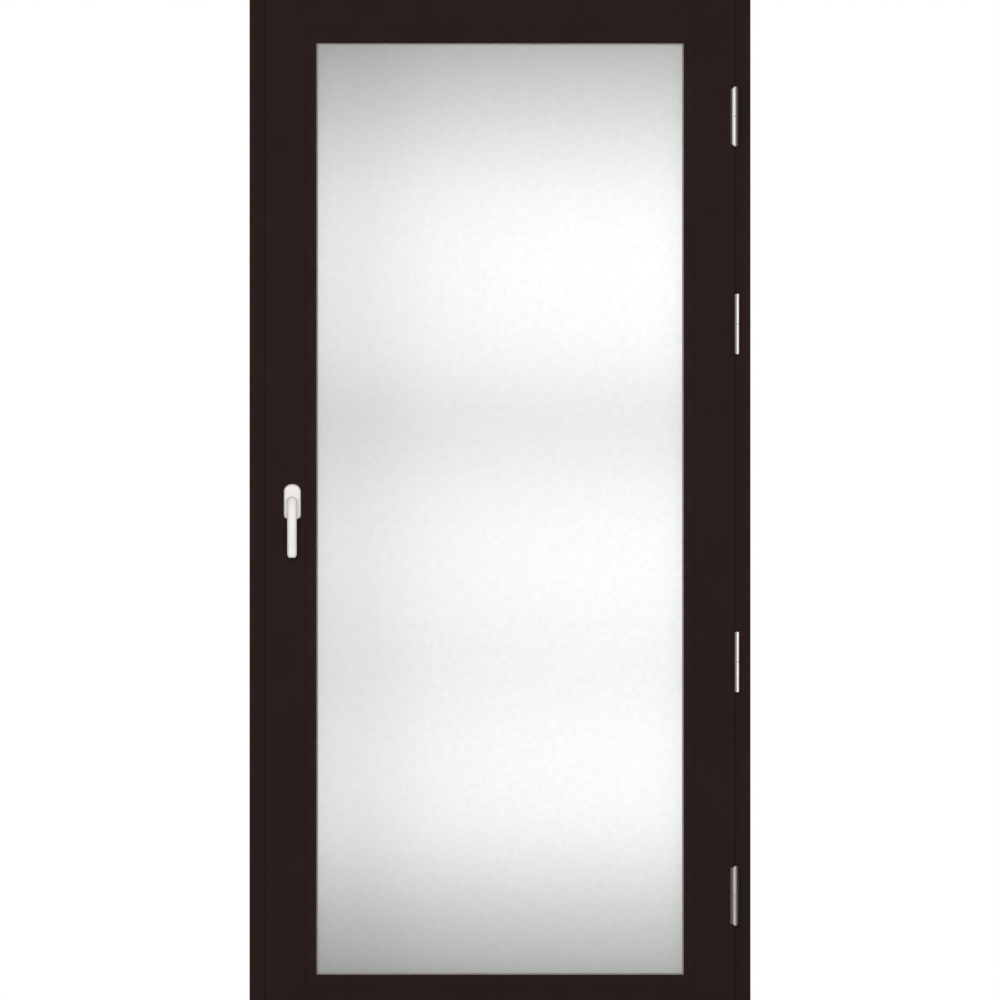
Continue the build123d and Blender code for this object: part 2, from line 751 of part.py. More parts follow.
# Sash, outdoor side
for side, name in zip(SIDES, ("top_rail", "bottom_rail", "lock_stile", "hinge_stile")):
    tube = member(side, sash_outdoor_section, sash_joint, shown="outdoor")
    with BuildPart() as sash_outdoor_shell:
        add(tube)
    sash_outdoor_shell.part.label = name + "_outer"
    export_step(sash_outdoor_shell.part, "parts/" + name + "_outer.step")

# The sash's insulating strips
strip_bars = [member(side, sash_strip_section, sash_joint, strip_gap) for side in SIDES]
with BuildPart() as sash_thermal_strips:
    add(strip_bars)
sash_thermal_strips.part.label = "sash_thermal_strips"
export_step(sash_thermal_strips.part, "parts/sash_thermal_strips.step")

room_cleats = corner_cleats(groove_floor, rail_inner, sash_face, -sash_break_room)
outdoor_cleats = corner_cleats(sash_outdoor_edge, rail_inner, outdoor_front, outdoor_face)
with BuildPart() as sash_corner_cleats:
    add(room_cleats)
    add(outdoor_cleats)
sash_corner_cleats.part.label = "sash_corner_cleats"
export_step(sash_corner_cleats.part, "parts/sash_corner_cleats.step")

# Glazing beads, mitred at the corners
for side, name in zip(SIDES, ("top", "bottom", "lock_side", "hinge_side")):
    profile = member(side, bead_section, sash_joint, shown="room")
    with BuildPart() as glazing_bead:
        add(profile)
    glazing_bead.part.label = "bead_" + name
    export_step(glazing_bead.part, "parts/bead_" + name + ".step")

# The seal between sash and frame, thinned where the hinge leaves pass
seal_root = sash_edge + lip_wall + crimp_fit
overlap_layers = (
    (seal_root, seal_root + gasket_groove - 2 * crimp_fit, sash_face + flange_wall, flange_back),
    (seal_root, frame_rebate - seal_clear, flange_back, room_face - seal_clear),
)
with BuildPart() as overlap_gasket:
    for s_outer, s_inner, y_from, y_to in overlap_layers:
        with BuildSketch(front_plane(y_to)):
            ring(s_outer, s_inner)
        extrude(amount=y_to - y_from)
    notch_x = half_width - frame_rebate + sash_overlap / 2
    notch_height = leaf_height + 2 * seal_clear
    for z in hinge_heights:
        with Locations((notch_x, flange_back, z + leaf_inset + leaf_height / 2)):
            Box(2 * sash_overlap, 2 * (leaf_plate + seal_clear), notch_height, mode=Mode.SUBTRACT)
        with Locations((notch_x, room_face, z - leaf_inset - leaf_height / 2)):
            Box(2 * sash_overlap, 2 * (leaf_plate + seal_clear), notch_height, mode=Mode.SUBTRACT)
overlap_gasket.part.label = "overlap_gasket"
export_step(overlap_gasket.part, "parts/overlap_gasket.step")

# Glazing gaskets: the room one ends in a lip beside the glass that shows as a thin line
with BuildPart() as room_glass_gasket:
    with BuildSketch(front_plane(glass_front)):
        ring(stile_inner + bead_width / 2, stile_sight + gasket_lip, stile_extra)
    extrude(amount=room_gasket)
room_glass_gasket.part.label = "room_glass_gasket"
export_step(room_glass_gasket.part, "parts/room_glass_gasket.step")

with BuildPart() as outdoor_glass_gasket:
    with BuildSketch(front_plane(outdoor_face - wall)):
        ring(stile_inner + bead_width / 2, stile_sight + gasket_lip / 2, stile_extra)
    extrude(amount=outdoor_gasket)
outdoor_glass_gasket.part.label = "outdoor_glass_gasket"
export_step(outdoor_glass_gasket.part, "parts/outdoor_glass_gasket.step")

# Three panes, from the room outwards
glass_width = frame_width - 2 * glass_edge
glass_height = frame_height - 2 * (glass_edge - stile_extra)
pane_fronts = [glass_front + number * (pane + cavity) for number in range(3)]
for name, front in zip(("room_pane", "middle_pane", "outdoor_pane"), pane_fronts):
    with BuildPart() as glass_pane:
        with BuildSketch(front_plane(front + pane)):
            with Locations(front_centre):
                Rectangle(glass_width, glass_height)
        extrude(amount=pane)
    glass_pane.part.label = name
    export_step(glass_pane.part, "parts/" + name + ".step")

# Spacer bars: hollow, filled with desiccant on the real unit
spacer_edge = glass_edge + seal_depth
with BuildPart() as spacer_bars:
    for front in pane_fronts[:2]:
        with BuildSketch(front_plane(front + pane + cavity)):
            ring(spacer_edge, spacer_edge + spacer_depth, stile_extra)
        extrude(amount=cavity)
        with BuildSketch(front_plane(front + pane + cavity - spacer_wall)):
            ring(spacer_edge + spacer_wall, spacer_edge + spacer_depth - spacer_wall, stile_extra)
        extrude(amount=cavity - 2 * spacer_wall, mode=Mode.SUBTRACT)
spacer_bars.part.label = "spacer_bars"
export_step(spacer_bars.part, "parts/spacer_bars.step")

# The sealant that fills the unit's edge outside the spacers
with BuildPart() as edge_seal:
    for front in pane_fronts[:2]:
        with BuildSketch(front_plane(front + pane + cavity)):
            ring(glass_edge, spacer_edge, stile_extra)
        extrude(amount=cavity)
edge_seal.part.label = "edge_seal"
export_step(edge_seal.part, "parts/edge_seal.step")

# Setting blocks between the glass edge and the sash
block_middle = (glass_front + glass_back) / 2
block_rail = rail_inner + glass_gap / 2
block_stile = half_width - stile_inner - glass_gap / 2
block_offset = glass_width / 2 - block_length
block_rise = glass_height / 2 - block_length
with BuildPart() as setting_blocks:
    with Locations((-block_offset, block_middle, block_rail), (block_offset, block_middle, block_rail)):
        Box(block_length, block_width, glass_gap)
    with Locations((-block_offset, block_middle, frame_height - block_rail)):
        Box(block_length, block_width, glass_gap)
    low_place = (block_stile, block_middle, frame_height / 2 - block_rise)
    high_place = (-block_stile, block_middle, frame_height / 2 + block_rise)
    with Locations(low_place, high_place):
        Box(glass_gap, block_width, block_length)
setting_blocks.part.label = "setting_blocks"
export_step(setting_blocks.part, "parts/setting_blocks.step")

# Screws through the sash's hinge leaves into the groove's floor
with BuildPart() as sash_screws:
    with Locations(*sash_leaf_screws):
        add(left_screw)
sash_screws.part.label = "sash_screws"
export_step(sash_screws.part, "parts/sash_screws.step")

# Gearbox case: a cast tray with guide ribs for the slide
slide_from = groove_y - slide_thick / 2
slide_to = groove_y + slide_thick / 2
arm_slot_low = spindle_z + arm_low - case_clear
arm_slot_high = spindle_z + arm_low + arm_height + travel + case_clear


def case_rectangle(s_from, s_to, z_from, z_to):
    """A rectangle in the front view; z is measured from the spindle."""
    with Locations(((s_from + s_to) / 2 - half_width, spindle_z + (z_from + z_to) / 2)):
        Rectangle(s_to - s_from, z_to - z_from)


with BuildPart() as gearbox_case:
    with BuildSketch(front_plane(cavity_to)):
        case_rectangle(case_left, case_right, case_low, case_high)
    extrude(amount=cavity_to - case_from)
    with BuildSketch(front_plane(cavity_to)):
        case_rectangle(cavity_left, cavity_right, cavity_low, cavity_high)
    extrude(amount=cavity_to - cavity_from, mode=Mode.SUBTRACT)
    with BuildSketch(front_plane(slide_from - rib_gap)):
        case_rectangle(cavity_left, cavity_left + rib_width, cavity_low, cavity_high)
        case_rectangle(cavity_right - rib_width, cavity_right, cavity_low, cavity_high)
    extrude(amount=slide_from - rib_gap - cavity_from)
    slot_x = (case_left + cavity_left) / 2 - half_width
    with Locations((slot_x, groove_y, (arm_slot_low + arm_slot_high) / 2)):
        Box(
            cavity_left - case_left + 2 * case_clear,
            slide_thick + 2 * case_clear,
            arm_slot_high - arm_slot_low,
            mode=Mode.SUBTRACT,
        )
    with BuildSketch(front_plane(cavity_from)):
        with Locations((spindle_x, spindle_z)):
            Circle(journal_radius + running_fit)
        with Locations((spindle_x, spindle_z + half_spacing), (spindle_x, spindle_z - half_spacing)):
            Circle(screw_radius)
    extrude(amount=case_front, mode=Mode.SUBTRACT)
gearbox_case.part.label = "gearbox_case"
export_step(gearbox_case.part, "parts/gearbox_case.step")

with BuildPart() as gearbox_cover:
    with BuildSketch(front_plane(cover_to)):
        case_rectangle(case_left, case_right, case_low, case_high)
        with Locations((spindle_x, spindle_z)):
            Circle(journal_radius + running_fit, mode=Mode.SUBTRACT)
    extrude(amount=case_cover)
    with BuildSketch(front_plane(cavity_to)):
        case_rectangle(cavity_left, cavity_left + rib_width, cavity_low, cavity_high)
        case_rectangle(cavity_right - rib_width, cavity_right, cavity_low, cavity_high)
    extrude(amount=cavity_to - slide_to - rib_gap)
gearbox_cover.part.label = "gearbox_cover"
export_step(gearbox_cover.part, "parts/gearbox_cover.step")


def involute(radius):
    """The involute function at a radius: tangent of the local pressure angle minus the angle."""
    local = acos(min(base_radius / radius, 1.0))
    return tan(local) - local


def tooth_corners():
    """One pinion tooth along x: two involute flanks between the root and the tip."""
    radii = [base_radius + share * (tip_radius - base_radius) / 4 for share in range(5)]
    middle = tooth_half / pitch_radius + involute(pitch_radius)
    flank = [(radius, middle - involute(radius)) for radius in radii]
    flank = [(root_radius - tooth_root / 2, flank[0][1])] + flank
    upper = [(radius * cos(angle), radius * sin(angle)) for radius, angle in flank]
    return [(x, -y) for x, y in upper] + upper[::-1]


with BuildSketch() as tooth:
    with BuildLine():
        Polyline(*tooth_corners(), close=True)
    make_face()

# Drive pinion: an involute gear on a hub that turns in the case and the cover
with BuildPart() as drive_pinion:
    with BuildSketch(front_plane(gear_to)):
        with Locations((spindle_x, spindle_z)):
            Circle(root_radius)
            with PolarLocations(0, gear_teeth):
                add(tooth.sketch)
    extrude(amount=gear_face)
    with BuildSketch(front_plane(cover_to)):
        with Locations((spindle_x, spindle_z)):
            Circle(journal_radius)
    extrude(amount=cover_to - case_from)
    with BuildSketch(front_plane(cover_to)):
        with Locations((spindle_x, spindle_z)):
            Rectangle(spindle_square + 2 * running_fit, spindle_square + 2 * running_fit)
    extrude(amount=cover_to - case_from, mode=Mode.SUBTRACT)
drive_pinion.part.label = "drive_pinion"
export_step(drive_pinion.part, "parts/drive_pinion.step")

# Slide: a plate with a window, a rack on the window's far side and an arm to the rod
rack_slope = tan(radians(pressure_angle))
rack_tip = rack_root - tooth_root - gear_module
foot_half = tooth_half + rack_slope * tooth_root
tip_half = tooth_half - rack_slope * gear_module
window_margin = foot_half + end_bevel
first_tooth = ceil((window_low + window_margin) / tooth_pitch - 0.5)
last_tooth = floor((window_high - window_margin) / tooth_pitch - 0.5)
rack_places = [(number + 0.5) * tooth_pitch for number in range(first_tooth, last_tooth + 1)]
with BuildPart() as rack_slide:
    with BuildSketch(front_plane(slide_to)):
        case_rectangle(slide_left, slide_right, slide_low, slide_high)
        case_rectangle(arm_end, slide_left, arm_low, arm_low + arm_height)
    extrude(amount=slide_thick)
    with BuildSketch(front_plane(slide_to)):
        case_rectangle(window_left, rack_root, window_low, window_high)
    extrude(amount=slide_thick, mode=Mode.SUBTRACT)
    with BuildSketch(front_plane(slide_to)):
        for z in rack_places:
            root_x = rack_root - half_width
            tip_x = rack_tip - half_width
            low = spindle_z + z
            with BuildLine():
                Polyline(
                    (root_x + tooth_sink, low - foot_half),
                    (root_x, low - foot_half),
                    (tip_x, low - tip_half),
                    (tip_x, low + tip_half),
                    (root_x, low + foot_half),
                    (root_x + tooth_sink, low + foot_half),
                    close=True,
                )
            make_face()
    extrude(amount=slide_thick)
rack_slide.part.label = "rack_slide"
export_step(rack_slide.part, "parts/rack_slide.step")

# Drive rod: a flat bar in the hardware groove, holed for the pins and the slide's arm
rod_x = rod_s + rod_thick / 2 - half_width
arm_z = spindle_z + arm_low + arm_height / 2
with BuildPart() as drive_rod:
    with Locations((rod_x, groove_y, (rod_bottom + rod_top) / 2)):
        Box(rod_thick, rod_width, rod_top - rod_bottom)
    fillet(drive_rod.edges().filter_by(Axis.X), radius=rod_corner)
    with Locations((rod_x, groove_y, arm_z)):
        slot_fit = 2 * running_fit
        Box(2 * rod_thick, slide_thick + slot_fit, arm_height + slot_fit, mode=Mode.SUBTRACT)
    with Locations(*[(rod_x, groove_y, z) for z in pin_heights]):
        Cylinder(radius=screw_radius, height=2 * rod_thick, rotation=(0, 90, 0), mode=Mode.SUBTRACT)
drive_rod.part.label = "drive_rod"
export_step(drive_rod.part, "parts/drive_rod.step")

# Locking pins, riveted into the rod and reaching over the keeps
pin_tip_x = frame_rebate + pin_gap - half_width
pin_head = rod_s - half_width - pin_tip_x
with BuildPart() as lock_pins:
    for z in pin_heights:
        with BuildSketch(Plane(origin=(pin_tip_x, groove_y, z), z_dir=(1, 0, 0))):
            Circle(lock_pin_radius)
        extrude(amount=pin_head)
    tips = lock_pins.faces().filter_by(Axis.X).group_by(Axis.X)[0]
    chamfer(tips.edges(), length=end_bevel)
    with Locations(*[(rod_x, groove_y, z) for z in pin_heights]):
        Cylinder(radius=screw_radius - crimp_fit, height=rod_thick, rotation=(0, 90, 0))
lock_pins.part.label = "lock_pins"
export_step(lock_pins.part, "parts/lock_pins.step")

# Handle: a base screwed through the sash into the gearbox, under a snap-on cover
rosette_front = sash_face - rosette_depth
base_front = sash_face - base_depth
neck_back = sash_face - base_recess
screw_spots = ((spindle_x, spindle_z + half_spacing), (spindle_x, spindle_z - half_spacing))


def rosette_outline(inset):
    """The rosette's front outline: wide round corners at the top, small ones below."""
    wide = rosette_width - 2 * inset
    tall = rosette_height - 2 * inset
    with Locations((spindle_x, spindle_z)):
        Rectangle(wide, tall)


with BuildPart() as rosette_base:
    with BuildSketch(front_plane(sash_face)) as base_outline:
        rosette_outline(rosette_wall + running_fit)
        inset = rosette_wall + running_fit
        fillet(base_outline.vertices().group_by(Axis.Y)[-1], radius=rosette_top_radius - inset)
        fillet(base_outline.vertices().group_by(Axis.Y)[0], radius=rosette_low_radius - inset)
    extrude(amount=base_depth)
    with BuildSketch(front_plane(sash_face)):
        with Locations((spindle_x, spindle_z)):
            Circle(neck_radius + running_fit)
    extrude(amount=base_depth, mode=Mode.SUBTRACT)
    rosette_hole = countersunk_hole((0, 1, 0), 2 * base_depth)
    with Locations(*[(x, base_front, z) for x, z in screw_spots]):
        add(rosette_hole, mode=Mode.SUBTRACT)
rosette_base.part.label = "rosette_base"
export_step(rosette_base.part, "parts/rosette_base.step")

with BuildPart() as rosette_cover:
    with BuildSketch(front_plane(sash_face)) as cover_outline:
        rosette_outline(0)
        fillet(cover_outline.vertices().group_by(Axis.Y)[-1], radius=rosette_top_radius)
        fillet(cover_outline.vertices().group_by(Axis.Y)[0], radius=rosette_low_radius)
    extrude(amount=rosette_depth)
    fillet(rosette_cover.faces().sort_by(Axis.Y)[0].edges(), radius=rosette_edge)
    with BuildSketch(front_plane(sash_face)) as cover_room:
        rosette_outline(rosette_wall)
        fillet(cover_room.vertices().group_by(Axis.Y)[-1], radius=rosette_top_radius - rosette_wall)
        fillet(cover_room.vertices().group_by(Axis.Y)[0], radius=rosette_low_radius - rosette_wall)
    extrude(amount=rosette_depth - rosette_wall, mode=Mode.SUBTRACT)
    with BuildSketch(front_plane(sash_face)):
        with Locations((spindle_x, spindle_z)):
            Circle(neck_radius + screw_fit)
    extrude(amount=rosette_depth, mode=Mode.SUBTRACT)
rosette_cover.part.label = "rosette_cover"
export_step(rosette_cover.part, "parts/rosette_cover.step")

rosette_screw = countersunk_screw((0, 1, 0), cavity_from - crimp_fit - base_front)
with BuildPart() as rosette_screws:
    with Locations(*[(x, base_front, z) for x, z in screw_spots]):
        add(rosette_screw)
rosette_screws.part.label = "rosette_screws"
export_step(rosette_screws.part, "parts/rosette_screws.step")

# Lever: a round neck in the base, then an arm that turns down along the door
lever_front = sash_face - lever_projection
lever_back = lever_front + lever_thick
arm_start = rosette_front - seal_clear
with BuildPart() as lever:
    with BuildSketch(Plane.YZ.offset(spindle_x - lever_width / 2)) as lever_side:
        with BuildLine():
            Polyline(
                (arm_start, spindle_z + lever_top),
                (lever_front, spindle_z + lever_top),
                (lever_front, spindle_z - lever_reach),
                (lever_back, spindle_z - lever_reach),
                (lever_back, spindle_z - lever_top),
                (arm_start, spindle_z - lever_top),
                close=True,
            )
        make_face()
        fillet(lever_side.vertices().group_by(Axis.X)[0].sort_by(Axis.Y)[-1:], radius=lever_bend)
        fillet(lever_side.vertices().group_by(Axis.X)[1].sort_by(Axis.Y)[-1:], radius=lever_bend)
    extrude(amount=lever_width)
    with BuildSketch(front_plane(sash_face)) as lever_outline:
        with Locations((spindle_x, spindle_z + (lever_top - lever_reach) / 2)):
            Rectangle(lever_width, lever_top + lever_reach)
        fillet(lever_outline.vertices().group_by(Axis.Y)[-1], radius=lever_width / 2 - 0.01)
        fillet(lever_outline.vertices().group_by(Axis.Y)[0], radius=lever_width / 4)
    extrude(amount=2 * lever_projection, mode=Mode.INTERSECT)
    with BuildSketch(Plane.XY.offset(spindle_z - lever_reach)) as lever_plan:
        with Locations((spindle_x, (lever_front + arm_start) / 2)):
            Rectangle(lever_width, arm_start - lever_front)
        chamfer(lever_plan.vertices().group_by(Axis.Y)[0], length=lever_bevel)
    extrude(amount=lever_top + lever_reach, mode=Mode.INTERSECT)
    with BuildSketch(front_plane(neck_back)):
        with Locations((spindle_x, spindle_z)):
            Circle(neck_radius)
    extrude(amount=neck_back - arm_start)
    with BuildSketch(front_plane(neck_back)):
        with Locations((spindle_x, spindle_z)):
            Rectangle(spindle_square + 2 * running_fit, spindle_square + 2 * running_fit)
    extrude(amount=lever_projection - lever_thick, mode=Mode.SUBTRACT)
lever.part.label = "lever"
export_step(lever.part, "parts/lever.step")

spindle_end = neck_back - lever_projection + lever_thick + running_fit
with BuildPart() as spindle:
    with BuildSketch(front_plane(cover_to)):
        with Locations((spindle_x, spindle_z)):
            Rectangle(spindle_square, spindle_square)
    extrude(amount=cover_to - spindle_end)
    chamfer(spindle.faces().filter_by(Axis.Y).edges(), length=end_bevel)
spindle.part.label = "spindle"
export_step(spindle.part, "parts/spindle.step")
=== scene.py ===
"""Finishes a balcony door: its coated profiles, glazing, seals and hardware, and its stage."""

import json
from math import pi, radians

import bpy
import numpy as np
from bpy.props import FloatProperty, FloatVectorProperty, PointerProperty
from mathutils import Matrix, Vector


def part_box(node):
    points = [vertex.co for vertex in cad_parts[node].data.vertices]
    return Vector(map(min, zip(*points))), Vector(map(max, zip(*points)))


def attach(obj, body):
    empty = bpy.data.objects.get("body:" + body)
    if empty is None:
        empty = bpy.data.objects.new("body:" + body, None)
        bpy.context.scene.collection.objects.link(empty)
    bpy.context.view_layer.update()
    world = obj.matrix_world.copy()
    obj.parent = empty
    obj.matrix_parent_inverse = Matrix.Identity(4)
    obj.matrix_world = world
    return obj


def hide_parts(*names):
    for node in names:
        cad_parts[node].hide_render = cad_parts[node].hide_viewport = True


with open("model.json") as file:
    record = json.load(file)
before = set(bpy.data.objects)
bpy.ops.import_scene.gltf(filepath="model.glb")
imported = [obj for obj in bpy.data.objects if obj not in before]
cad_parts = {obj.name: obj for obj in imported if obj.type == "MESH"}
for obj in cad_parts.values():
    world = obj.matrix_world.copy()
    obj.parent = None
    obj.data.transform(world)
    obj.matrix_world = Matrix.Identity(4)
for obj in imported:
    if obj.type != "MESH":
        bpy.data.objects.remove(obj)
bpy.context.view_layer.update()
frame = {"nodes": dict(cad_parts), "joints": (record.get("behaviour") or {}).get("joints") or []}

bl_info = {
    "name": "Balcony Door Finishes",
    "version": (1, 0, 0),
    "blender": (4, 5, 0),
    "location": "3D View > Sidebar > Balcony Door",
    "description": "Finishes a packed balcony door and sets its stage",
    "category": "Object",
}

MILLIMETRE = 0.001
SWING = next(joint for joint in frame["joints"] if joint["name"] == "door_swing")


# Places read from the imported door, in metres

def low(node):
    """A node's lowest corner."""
    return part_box(node)[0]


def high(node):
    """A node's highest corner."""
    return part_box(node)[1]


DOOR_HEIGHT = high("frame_head_inner").z
SASH_FACE = low("hinge_stile_inner").y
GLASS_LOW = low("room_pane")
GLASS_HIGH = high("room_pane")
SPINDLE = Vector((
    (low("spindle").x + high("spindle").x) / 2,
    SASH_FACE,
    (low("spindle").z + high("spindle").z) / 2,
))


# Colours

def linear(code, alpha=1.0):
    """An sRGB hex colour as linear light, by the sRGB curve."""
    levels = np.array([int(code[place:place + 2], 16) for place in (1, 3, 5)]) / 255
    light = np.where(levels <= 0.04045, levels / 12.92, ((levels + 0.055) / 1.055) ** 2.4)
    return (*light.tolist(), alpha)


def scaled(colour, share):
    """A linear colour made darker or lighter by a share."""
    return (*[min(channel * share, 1.0) for channel in colour[:3]], 1.0)


def colour_property(name, description, code):
    """A colour setting whose default is an sRGB hex value."""
    return FloatVectorProperty(
        name=name, description=description, subtype="COLOR", size=4, min=0.0, max=1.0, default=linear(code)
    )


def length_property(name, description, metres):
    """A length setting, in metres."""
    return FloatProperty(
        name=name, description=description, default=metres, min=0.0, unit="LENGTH", precision=5
    )


def share_property(name, description, value, most=1.0):
    """A plain number from nothing to the most that makes sense."""
    return FloatProperty(name=name, description=description, default=value, min=0.0, max=most)


# Settings

class ProfileSettings(bpy.types.PropertyGroup):
    """The coated aluminium profiles"""

    coat: colour_property("Coat", "Colour of the powder coat on frame and sash", "#241A17")
    coat_roughness: share_property("Coat roughness", "How matt the powder coat is", 0.75)
    orange_peel: length_property("Orange peel", "Width of the coat's fine waves", 1.2 * MILLIMETRE)
    polyamide: colour_property("Polyamide", "Colour of the insulating strips", "#161617")


class GlazingSettings(bpy.types.PropertyGroup):
    """The three panes and what holds them"""

    satin: colour_property("Satin glass", "Colour of the satin room pane at its lightest", "#FEFEFF")
    satin_roughness: share_property("Satin roughness", "How much the satin pane blurs", 0.4)
    clearness: share_property("Clearness", "Share of the light that comes through the satin pane", 0.12)
    mottle: length_property("Mottle", "Width of the satin finish's soft clouds", 14 * MILLIMETRE)
    gasket: colour_property("Room gasket", "Colour of the grey gasket round the room pane", "#8B8683")
    lip_radius: length_property("Gasket lip", "Radius of the gaskets' rounded lips", 1.1 * MILLIMETRE)


class HandleSettings(bpy.types.PropertyGroup):
    """The lever handle and its rosette"""

    coat: colour_property("Handle coat", "Colour of the handle", "#DAD7D3")
    front_radius: length_property("Front width", "Width of the lever's rounded front edges", 4.2 * MILLIMETRE)
    front_fall: length_property("Front fall", "Depth of the lever's rounded front edges", 9.5 * MILLIMETRE)
    back_radius: length_property("Back radius", "Rounding along the lever's back edges", 2.4 * MILLIMETRE)
    tip_radius: length_property("Tip radius", "Rounding at the lever's free end", 8.0 * MILLIMETRE)
    bend_depth: length_property("Bend depth", "Depth of the lever's bend, out of the door", 13.0 * MILLIMETRE)
    bend_drop: length_property("Bend drop", "Height of the lever's bend, down the arm", 24.0 * MILLIMETRE)
    rosette_top: length_property("Rosette top", "Radius of the rosette's upper corners", 15.5 * MILLIMETRE)
    rosette_foot: length_property("Rosette foot", "Radius of the rosette's lower corners", 8.0 * MILLIMETRE)
    rosette_edge: length_property("Rosette edge", "Width of the rounding round its front", 4.4 * MILLIMETRE)
    rosette_fall: length_property("Rosette fall", "Depth of the rounding round its front", 9.0 * MILLIMETRE)
    rosette_wall: length_property("Rosette wall", "Thickness of the snap-on cover", 1.6 * MILLIMETRE)


class HardwareSettings(bpy.types.PropertyGroup):
    """Hinges, screws and lock parts"""

    hinge: colour_property("Hinge coat", "Colour of the hinges", "#F4F0ED")
    steel: colour_property("Steel", "Colour of bright steel", "#B9B8B6")
    zinc: colour_property("Zinc", "Colour of zinc plate", "#A9ABAE")


class StageSettings(bpy.types.PropertyGroup):
    """The floor, the light and the camera"""

    room_level: share_property("Room light", "Even light from all sides", 0.22, 2.0)
    lamp_level: share_property("Lamp light", "Light of the lamps on the door's faces", 0.81, 2.0)
    view_width: length_property("View width", "Width of the view at the sash's face", 1.995)
    view_height: length_property("View centre", "Height of the view's centre over the floor", 1.068)
    distance: length_property("Camera distance", "From the camera to the sash's face", 20.0)


class DoorSettings(bpy.types.PropertyGroup):
    """All settings of the balcony door"""

    profiles: PointerProperty(type=ProfileSettings, name="Profiles", description="The coated profiles")
    glazing: PointerProperty(type=GlazingSettings, name="Glazing", description="Panes and gaskets")
    handle: PointerProperty(type=HandleSettings, name="Handle", description="Lever and rosette")
    hardware: PointerProperty(type=HardwareSettings, name="Hardware", description="Hinges and lock parts")
    stage: PointerProperty(type=StageSettings, name="Stage", description="Floor, light and camera")


# Shader helpers

# The Mix node's sockets for colours, by number, because its other sockets share their names
MIX_FIRST, MIX_SECOND, MIX_RESULT = 6, 7, 2
# Its settings for one colour times another
MULTIPLY = {"data_type": "RGBA", "blend_type": "MULTIPLY"}


def add(tree, kind, inputs=None, stops=(), interpolation="LINEAR", **settings):
    """Adds one node with its settings; an input that is a socket is linked, any other is set.

    A colour ramp's stops are each a position and a colour, which is a hex code or linear light."""
    node = tree.nodes.new(kind)
    for name, value in settings.items():
        setattr(node, name, value)
    for name, value in (inputs or {}).items():
        if isinstance(value, bpy.types.NodeSocket):
            tree.links.new(value, node.inputs[name])
        else:
            node.inputs[name].default_value = value
    if stops:
        node.color_ramp.interpolation = interpolation
        for position, _ in stops[1:-1]:
            node.color_ramp.elements.new(position)
        for element, (position, colour) in zip(node.color_ramp.elements, stops):
            element.position = position
            element.color = linear(colour) if isinstance(colour, str) else colour
    return node


def start_finish(name, sockets):
    """A new material with its shader's plain values, its tree and the object's own coordinates."""
    material = bpy.data.materials.new(name)
    material.use_nodes = True
    tree = material.node_tree
    shader = tree.nodes["Principled BSDF"]
    for socket, value in sockets.items():
        shader.inputs[socket].default_value = value
    place = add(tree, "ShaderNodeTexCoord").outputs["Object"]
    return material, tree, shader, place


def drifting_colour(tree, place, clouds, dark, light):
    """A colour that drifts between two shades, with clouds of a size in metres and a detail."""
    size, detail = clouds
    cloud = add(tree, "ShaderNodeTexNoise", {"Vector": place, "Scale": 1 / size, "Detail": detail})
    shades = [(0.3, dark), (0.7, light)]
    return add(tree, "ShaderNodeValToRGB", {"Fac": cloud.outputs["Fac"]}, shades).outputs["Color"]


def fine_relief(tree, shader, place, grain, depth):
    """Relief as high as the depth, with a grain of a size in metres and a detail."""
    size, detail = grain
    height = add(tree, "ShaderNodeTexNoise", {"Vector": place, "Scale": 1 / size, "Detail": detail})
    relief = add(tree, "ShaderNodeBump", {"Height": height.outputs["Fac"], "Distance": depth})
    tree.links.new(relief.outputs["Normal"], shader.inputs["Normal"])


def grained_finish(name, colour, spread, clouds, grain, depth, sockets, stretch=(1.0, 1.0, 1.0)):
    """A finish whose colour drifts by a share to either side, with clouds, and which has a fine grain.

    Clouds and grain are each a size in metres and a detail, and the stretch squeezes both along an axis."""
    material, tree, shader, place = start_finish(name, sockets)
    place = add(tree, "ShaderNodeMapping", {"Vector": place, "Scale": stretch}).outputs["Vector"]
    dark = scaled(colour, 1 - spread)
    light = scaled(colour, 1 + spread)
    tree.links.new(drifting_colour(tree, place, clouds, dark, light), shader.inputs["Base Color"])
    fine_relief(tree, shader, place, grain, depth)
    return material


def sees_surroundings(tree):
    """1 for rays from the camera, off a shiny surface or through glass, and 0 for the light's own."""
    path = add(tree, "ShaderNodeLightPath").outputs
    seen = path["Is Camera Ray"]
    for kind in ("Is Glossy Ray", "Is Transmission Ray"):
        seen = add(tree, "ShaderNodeMath", {0: seen, 1: path[kind]}, operation="MAXIMUM").outputs[0]
    return seen


# Finishes

def powder_coated_aluminium(settings):
    """Extruded aluminium with a matt polyester powder coat, which has a fine orange peel and no sheen."""
    return grained_finish(
        "powder_coated_aluminium",
        settings.coat,
        spread=0.05,
        clouds=(90 * MILLIMETRE, 3.0),
        grain=(settings.orange_peel, 1.0),
        depth=0.03 * MILLIMETRE,
        sockets={"Roughness": settings.coat_roughness, "Specular IOR Level": 0.04},
    )


def extruded_polyamide(settings):
    """Black glass-filled polyamide, extruded: dull, with a fine grain of fibres."""
    grain = (0.6 * MILLIMETRE, 3.0)
    return grained_finish(
        "extruded_polyamide",
        settings.polyamide,
        spread=0.25,
        clouds=grain,
        grain=grain,
        depth=0.04 * MILLIMETRE,
        sockets={"Roughness": 0.7},
    )


def mill_finish_aluminium():
    """Extruded and sawn aluminium, uncoated: a soft grey shine with faint streaks up its length."""
    streaks = (1.5 * MILLIMETRE, 3.0)
    return grained_finish(
        "mill_finish_aluminium",
        linear("#C9C9CB"),
        spread=0.08,
        clouds=streaks,
        grain=streaks,
        depth=0.02 * MILLIMETRE,
        sockets={"Metallic": 1.0, "Roughness": 0.38},
        stretch=(1.0, 1.0, 0.06),
    )


